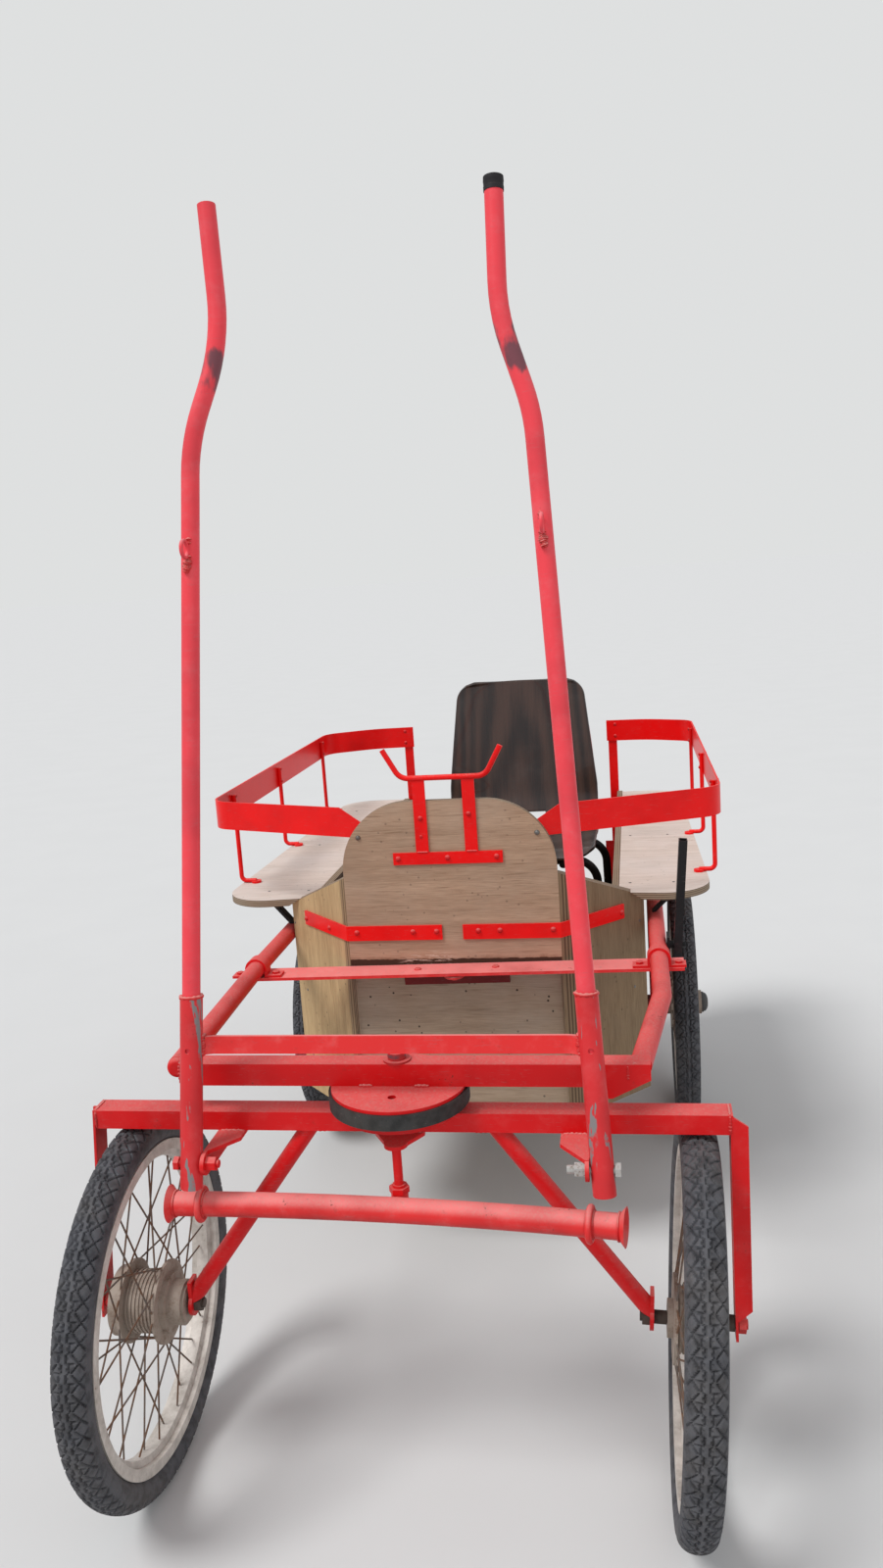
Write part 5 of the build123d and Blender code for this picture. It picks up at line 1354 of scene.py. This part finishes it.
@dataclass
class Welds:
    """Uneven weld beads and lumps that fuse one bar to another.

    Attributes:
        swing: how far the swingletree is parked off square, in degrees.
        tree_half, tree_bow: half its length and how far it bows, in mm.
        tree_rings: inset from its end, radius and bead radius of each ring, in mm.
    """

    swing: float = -3.1
    tree_half: float = 346.0
    tree_bow: float = 14.0
    tree_rings: tuple[Point, ...] = ((9.5, 19.6, 1.5), (45.4, 19.2, 1.6), (55.8, 19.2, 1.6))

    @staticmethod
    def shaft(side: int, height: float, out: float, ahead: float) -> np.ndarray:
        """Point on a leaning shaft, in metres.

        Args:
            side: 1 for the left shaft and -1 for the right one.
            height: distance up the shaft from its pivot, in mm.
            out: distance outwards from its centre line, in mm.
            ahead: distance in front of its centre line, in mm.

        Returns:
            Array of three.
        """
        cos, sin = math.cos(SHAFT_LEAN), math.sin(SHAFT_LEAN)
        return np.array(at(side * (PIVOT_X - height * math.tan(SHAFT_TAPER) + out),
                           PIVOT_ALONG - ahead * cos + height * sin,
                           PIVOT_HEIGHT + height * cos + ahead * sin))

    def on_shafts(self) -> Pile:
        """Beads where poles, sockets, crossbar and tug rings meet.

        Returns:
            The beads.
        """
        pile = Pile()
        for side in (-1, 1):
            ring = [self.shaft(side, 251.5, 15.2 * math.cos(a), 15.2 * math.sin(a))
                    for a in np.linspace(0, TURN, 72, endpoint=False)]
            pile.grid(bead(np.array(ring), 2.9, 1.0 + side, True), True, True)
            # Height, out and ahead of each end, then radius and seed
            rows = [((166.0, -17.5, -2.0), (189.0, -17.5, -2.0), 3.6, 3.0 * side - 2.0),
                    ((166.0, -13.0, -15.0), (189.0, -13.0, -15.0), 3.6, 3.0 * side - 15.0)]
            rows += [((height, -17.0, 2.0), (height, -15.0, -16.0), 3.4, height + side)
                     for height in (164.5, 190.5)]
            rows += [((height - 6, 2.0 * math.sin(seed), ahead - 2), (height + 6, -1.5, ahead),
                      radius, seed + side) for height, ahead, radius, seed in (
                          (888.0, 15.0, 6.4, 0.3), (881.0, 16.5, 5.0, 2.2),
                          (895.0, 13.5, 4.6, 4.0), (921.0, 12.5, 3.6, 5.0))]
            for start, end, radius, seed in rows:
                pile.grid(line_bead(self.shaft(side, *start), self.shaft(side, *end), radius,
                                    seed, 28), wrap_v=True)
        return pile

    def on_axle(self) -> Pile:
        """Beads at the beam's ends, over the braces and on the brackets.

        Returns:
            The beads.
        """
        pile = Pile()
        rows = [((-38, -14.3, 606.0), (-20, -14.3, 606.0), 2.6, 8.0),
                ((20, -14.3, 606.0), (38, -14.3, 606.0), 2.6, 9.0)]
        for side, inner in ((-1, -12.5), (1, -22.0)):
            x, bracket = side * 487.8, side * 246
            ring = [at(side * 122 + 17.5 * math.cos(a), 6 + 14.4 * math.sin(a), 606.6)
                    for a in np.linspace(0, TURN, 64, endpoint=False)]
            pile.grid(bead(np.array(ring), 2.5, 4.0 + side, True), True, True)
            rows += [((x, -14.0, 609), (x, -14.0, 636.5), 2.0, 1.0 + side),
                     ((x, -12.5, 637.6), (x, 24.0, 637.6), 2.0, 2.0 + side),
                     ((bracket, -14.2, 606.5), (side * 284, -14.2, 606.5), 2.6, 6.0 + side),
                     ((bracket, inner, 606.8), (bracket, -16, 606.8), 1.6, 7.0 + side)]
        for start, end, radius, seed in rows:
            pile.grid(line_bead(at(*start), at(*end), radius, seed, 40), wrap_v=True)
        return pile

    def on_chassis(self) -> Pile:
        """Beads on the crossmember, the turntable plate and the rein rail.

        Returns:
            The beads.
        """
        rows = [((-58, -12.2, 680.4), (-37, -12.2, 680.4), 2.8, 0.4),
                ((27, -12.2, 680.4), (50, -12.2, 680.4), 2.8, 1.4),
                ((352, -9.5, 713.5), (372, 22.0, 706.0), 2.6, 2.4),
                ((345, -11.0, 690.0), (345, -11.0, 712.0), 1.8, 3.1),
                ((-341.5, -10.5, 682.0), (-341.5, -10.5, 713.0), 2.4, 4.4),
                ((-341.5, -10.0, 714.3), (-341.5, 22.0, 714.3), 2.4, 5.4)]
        for x in (-49, 49):
            rows += [((x - 11, 588.6, 895.0), (x + 11, 588.6, 895.0), 1.5, 6.0 + x),
                     ((x - 11, 587.4, 1043.5), (x + 11, 587.4, 1043.5), 1.8, 7.0 + x)]
        pile = Pile()
        for start, end, radius, seed in rows:
            pile.grid(line_bead(at(*start), at(*end), radius, seed, 44), wrap_v=True)
        return pile

    def on_tree(self) -> Pile:
        """Rings of bead where the swingletree's end flanges and collars meet the bowed tube.

        Returns:
            The beads.
        """
        pile = Pile()
        pin = np.array(at(0, -46.0, 512.0))
        radius = (self.tree_half**2 + self.tree_bow**2) / (2 * self.tree_bow)
        turn = np.linspace(0, TURN, 64, endpoint=False)[:, None]
        cos, sin = math.cos(math.radians(self.swing)), math.sin(math.radians(self.swing))
        turned = np.array([(cos, sin, 0), (-sin, cos, 0), (0, 0, 1)])
        for side in (-1, 1):
            for inset, size, wire in self.tree_rings:
                angle = side * (math.asin(self.tree_half / radius) - inset / radius)
                middle = np.array([radius * math.sin(angle) - 8.0,
                                   radius * math.cos(angle) - radius - 26.0, 0.0])
                across = np.array([-math.sin(angle), -math.cos(angle), 0.0])
                ring = middle + size * (np.cos(turn) * across + np.sin(turn) * UPWARD)
                pile.grid(bead(ring * MM @ turned + pin, wire, inset + side, True), True, True)
        return pile

    def build(self) -> None:
        """Build the beads, one piece to a body."""
        paint = OldPaint("weld_paint", rgb(0.62, 0.020, 0.022), rgb(0.72, 0.24, 0.22),
                         fading=1.0, chips=0.8, streaks=0.0).material()
        for name, body, pile in (("shaft_welds", Body.SHAFTS, self.on_shafts()),
                                 ("axle_welds", Body.FORE_AXLE, self.on_axle()),
                                 ("chassis_welds", Body.CHASSIS, self.on_chassis()),
                                 ("swingletree_welds", Body.TREE, self.on_tree())):
            settle(pile.object(name, crease=80.0, weld=1e-7), paint, body.value)


@dataclass
class SmallParts:
    """The tape round the left shaft's tip and the round plate under the cross strap.

    Attributes:
        tip: distance up the shaft to the tape's upper edge, and its place across, in mm.
        tape_radius, tape_length, bore: size of the tape's sleeve in metres.
        plate_at, plate_radius: place in mm and radius in metres of the plate.
    """

    tip: tuple[float, float] = (1392.5, 209.0)
    tape_radius: float = 0.0143
    tape_length: float = 0.020
    bore: float = 0.0132
    plate_at: Point = (4.0, 552.0, 650.0)
    plate_radius: float = 0.020

    def tape(self) -> None:
        """Build the sleeve of black tape, a profile turned round the tip's leaning axis."""
        up, x = self.tip
        cos, sin = math.cos(SHAFT_LEAN), math.sin(SHAFT_LEAN)
        axis = Vector((1.0 / 187.0, sin, cos)).normalized()
        r, n = self.tape_radius, self.tape_length
        foot = Vector(at(x, PIVOT_ALONG + up * sin, PIVOT_HEIGHT + up * cos)) - axis * n
        profile = [(self.bore, 0), (r, 0.0003), (r + 0.0002, n * 0.3), (r - 0.0003, n * 0.32),
                   (r - 0.0001, n * 0.62), (r + 0.0003, n * 0.66), (r, n),
                   (r - 0.0012, n + 0.0006), (0.0110, n + 0.0004), (0.0110, n - 0.004),
                   (self.bore, n - 0.004)]
        pile = Pile()
        pile.grid(lathe(profile, foot, axis, 40), wrap_u=True, wrap_v=True)
        paint = OldPaint("tape", rgb(0.020, 0.018, 0.020), rgb(0.07, 0.065, 0.07),
                         bare=rgb(0.10, 0.09, 0.09), chips=0.3, gloss=0.5).material()
        settle(pile.object("shaft_tip_tape", crease=40.0), paint, Body.SHAFTS.value)

    def plate(self) -> None:
        """Build the plate, a low rounded disc with the bolt's end under it."""
        r = self.plate_radius
        profile = [(0, -0.006), (0.005, -0.006), (0.006, -0.005), (0.006, 0.0), (r * 0.9, 0.0),
                   (r, 0.0015), (r, 0.0045), (r * 0.9, 0.006), (0.009, 0.006), (0.009, 0.0085),
                   (0, 0.0085)]
        pile = Pile()
        pile.grid(lathe(profile, at(*self.plate_at), UPWARD, 32), wrap_u=True)
        paint = OldPaint("plate_paint", rgb(0.62, 0.03, 0.03), rgb(0.66, 0.2, 0.18),
                         fading=1.0).material()
        settle(pile.object("strap_plate"), paint, Body.CHASSIS.value)


@dataclass
class Studio:
    """Pale floor, soft light and the camera of the photograph.

    Attributes:
        eye: the camera's place.
        heading, pitch, roll: its turn to the left, tilt down and bank, in degrees.
        focal_px: focal length in pixels of the 901 by 1600 picture.
        sky: strength of the light from all round.
        suns: name, direction, spread in degrees and strength of each far lamp.
    """

    eye: Point = (0.3772, -2.4202, 1.4353)
    heading: float = -9.6097
    pitch: float = 10.1201
    roll: float = -3.8994
    focal_px: float = 1211.493
    picture_height: float = 1600.0
    sensor: float = 36.0
    floor_size: float = 400.0
    floor_tones: tuple[Colour, Colour] = (rgb(0.64, 0.64, 0.635), rgb(0.67, 0.67, 0.665))
    sky: float = 0.60
    sky_tone: Colour = rgb(0.95, 0.97, 1.0)
    backdrop: Colour = rgb(0.735, 0.745, 0.745)
    suns: tuple[tuple[str, Point, float, float], ...] = (
        ("key", (-0.75, -0.65, 1.4), 22.0, 1.95), ("fill", (0.9, -0.9, 0.7), 60.0, 0.30))

    def camera(self) -> None:
        """Place the camera."""
        heading, pitch, roll = (math.radians(a) for a in (self.heading, self.pitch, self.roll))
        ahead = Vector((math.sin(heading) * math.cos(pitch), math.cos(heading) * math.cos(pitch),
                        -math.sin(pitch)))
        right = Vector((math.cos(heading), -math.sin(heading), 0))
        up = right.cross(ahead)
        side = math.cos(roll) * right + math.sin(roll) * up
        top = -math.sin(roll) * right + math.cos(roll) * up
        data = bpy.data.cameras.new("camera")
        data.sensor_fit = "AUTO"
        data.sensor_width = self.sensor
        data.lens = self.focal_px / self.picture_height * self.sensor
        obj = bpy.data.objects.new("camera", data)
        bpy.context.scene.collection.objects.link(obj)
        turn = Matrix((side, top, -ahead)).transposed().to_4x4()
        obj.matrix_world = Matrix.Translation(self.eye) @ turn
        bpy.context.scene.camera = obj

    def floor(self) -> None:
        """Lay the plain floor."""
        half = self.floor_size / 2
        pile = Pile()
        pile.grid(np.array([[(x, y, 0) for y in (-half, half)] for x in (-half, half)], float))
        floor = pile.object("floor")
        shader = Shader("pale_floor")
        tone = shader.mix(*self.floor_tones, shader.noise(shader.place(), 3.0, 3.0))
        dress(floor, shader.finish(tone, 0.95, shine=0.0))

    def light(self) -> None:
        """Light the room: soft light all round, a plain backdrop for the camera, far lamps."""
        world = bpy.data.worlds.new("room")
        bpy.context.scene.world = world
        world.use_nodes = True
        nodes, links = world.node_tree.nodes, world.node_tree.links
        either = nodes.new("ShaderNodeMixShader")
        lit, seen = nodes["Background"], nodes.new("ShaderNodeBackground")
        backgrounds = ((lit, self.sky_tone, self.sky), (seen, self.backdrop, 1.0))
        for socket, (node, colour, strength) in enumerate(backgrounds, 1):
            node.inputs["Color"].default_value = colour
            node.inputs["Strength"].default_value = strength
            links.new(node.outputs[0], either.inputs[socket])
        path = nodes.new("ShaderNodeLightPath")
        links.new(path.outputs["Is Camera Ray"], either.inputs[0])
        links.new(either.outputs[0], nodes["World Output"].inputs["Surface"])
        for name, towards, spread, strength in self.suns:
            data = bpy.data.lights.new(name, "SUN")
            data.angle = math.radians(spread)
            data.energy = strength
            obj = bpy.data.objects.new(name, data)
            bpy.context.scene.collection.objects.link(obj)
            obj.rotation_euler = Vector(towards).to_track_quat("Z", "Y").to_euler()
        bpy.context.scene.view_settings.view_transform = "Standard"


def main() -> None:
    """Build every piece round the frame."""
    logging.basicConfig(level=logging.INFO, format="%(message)s")
    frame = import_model()
    wheels, small, studio = Wheels(), SmallParts(), Studio()
    Dressing().build(frame)
    wheels.build(frame)
    SeatShell().build(Veneer().material())
    Hardware().build()
    Welds().build()
    small.tape()
    small.plate()
    wheels.caps()
    studio.floor()
    studio.light()
    studio.camera()


if __name__ == "__main__":
    main()
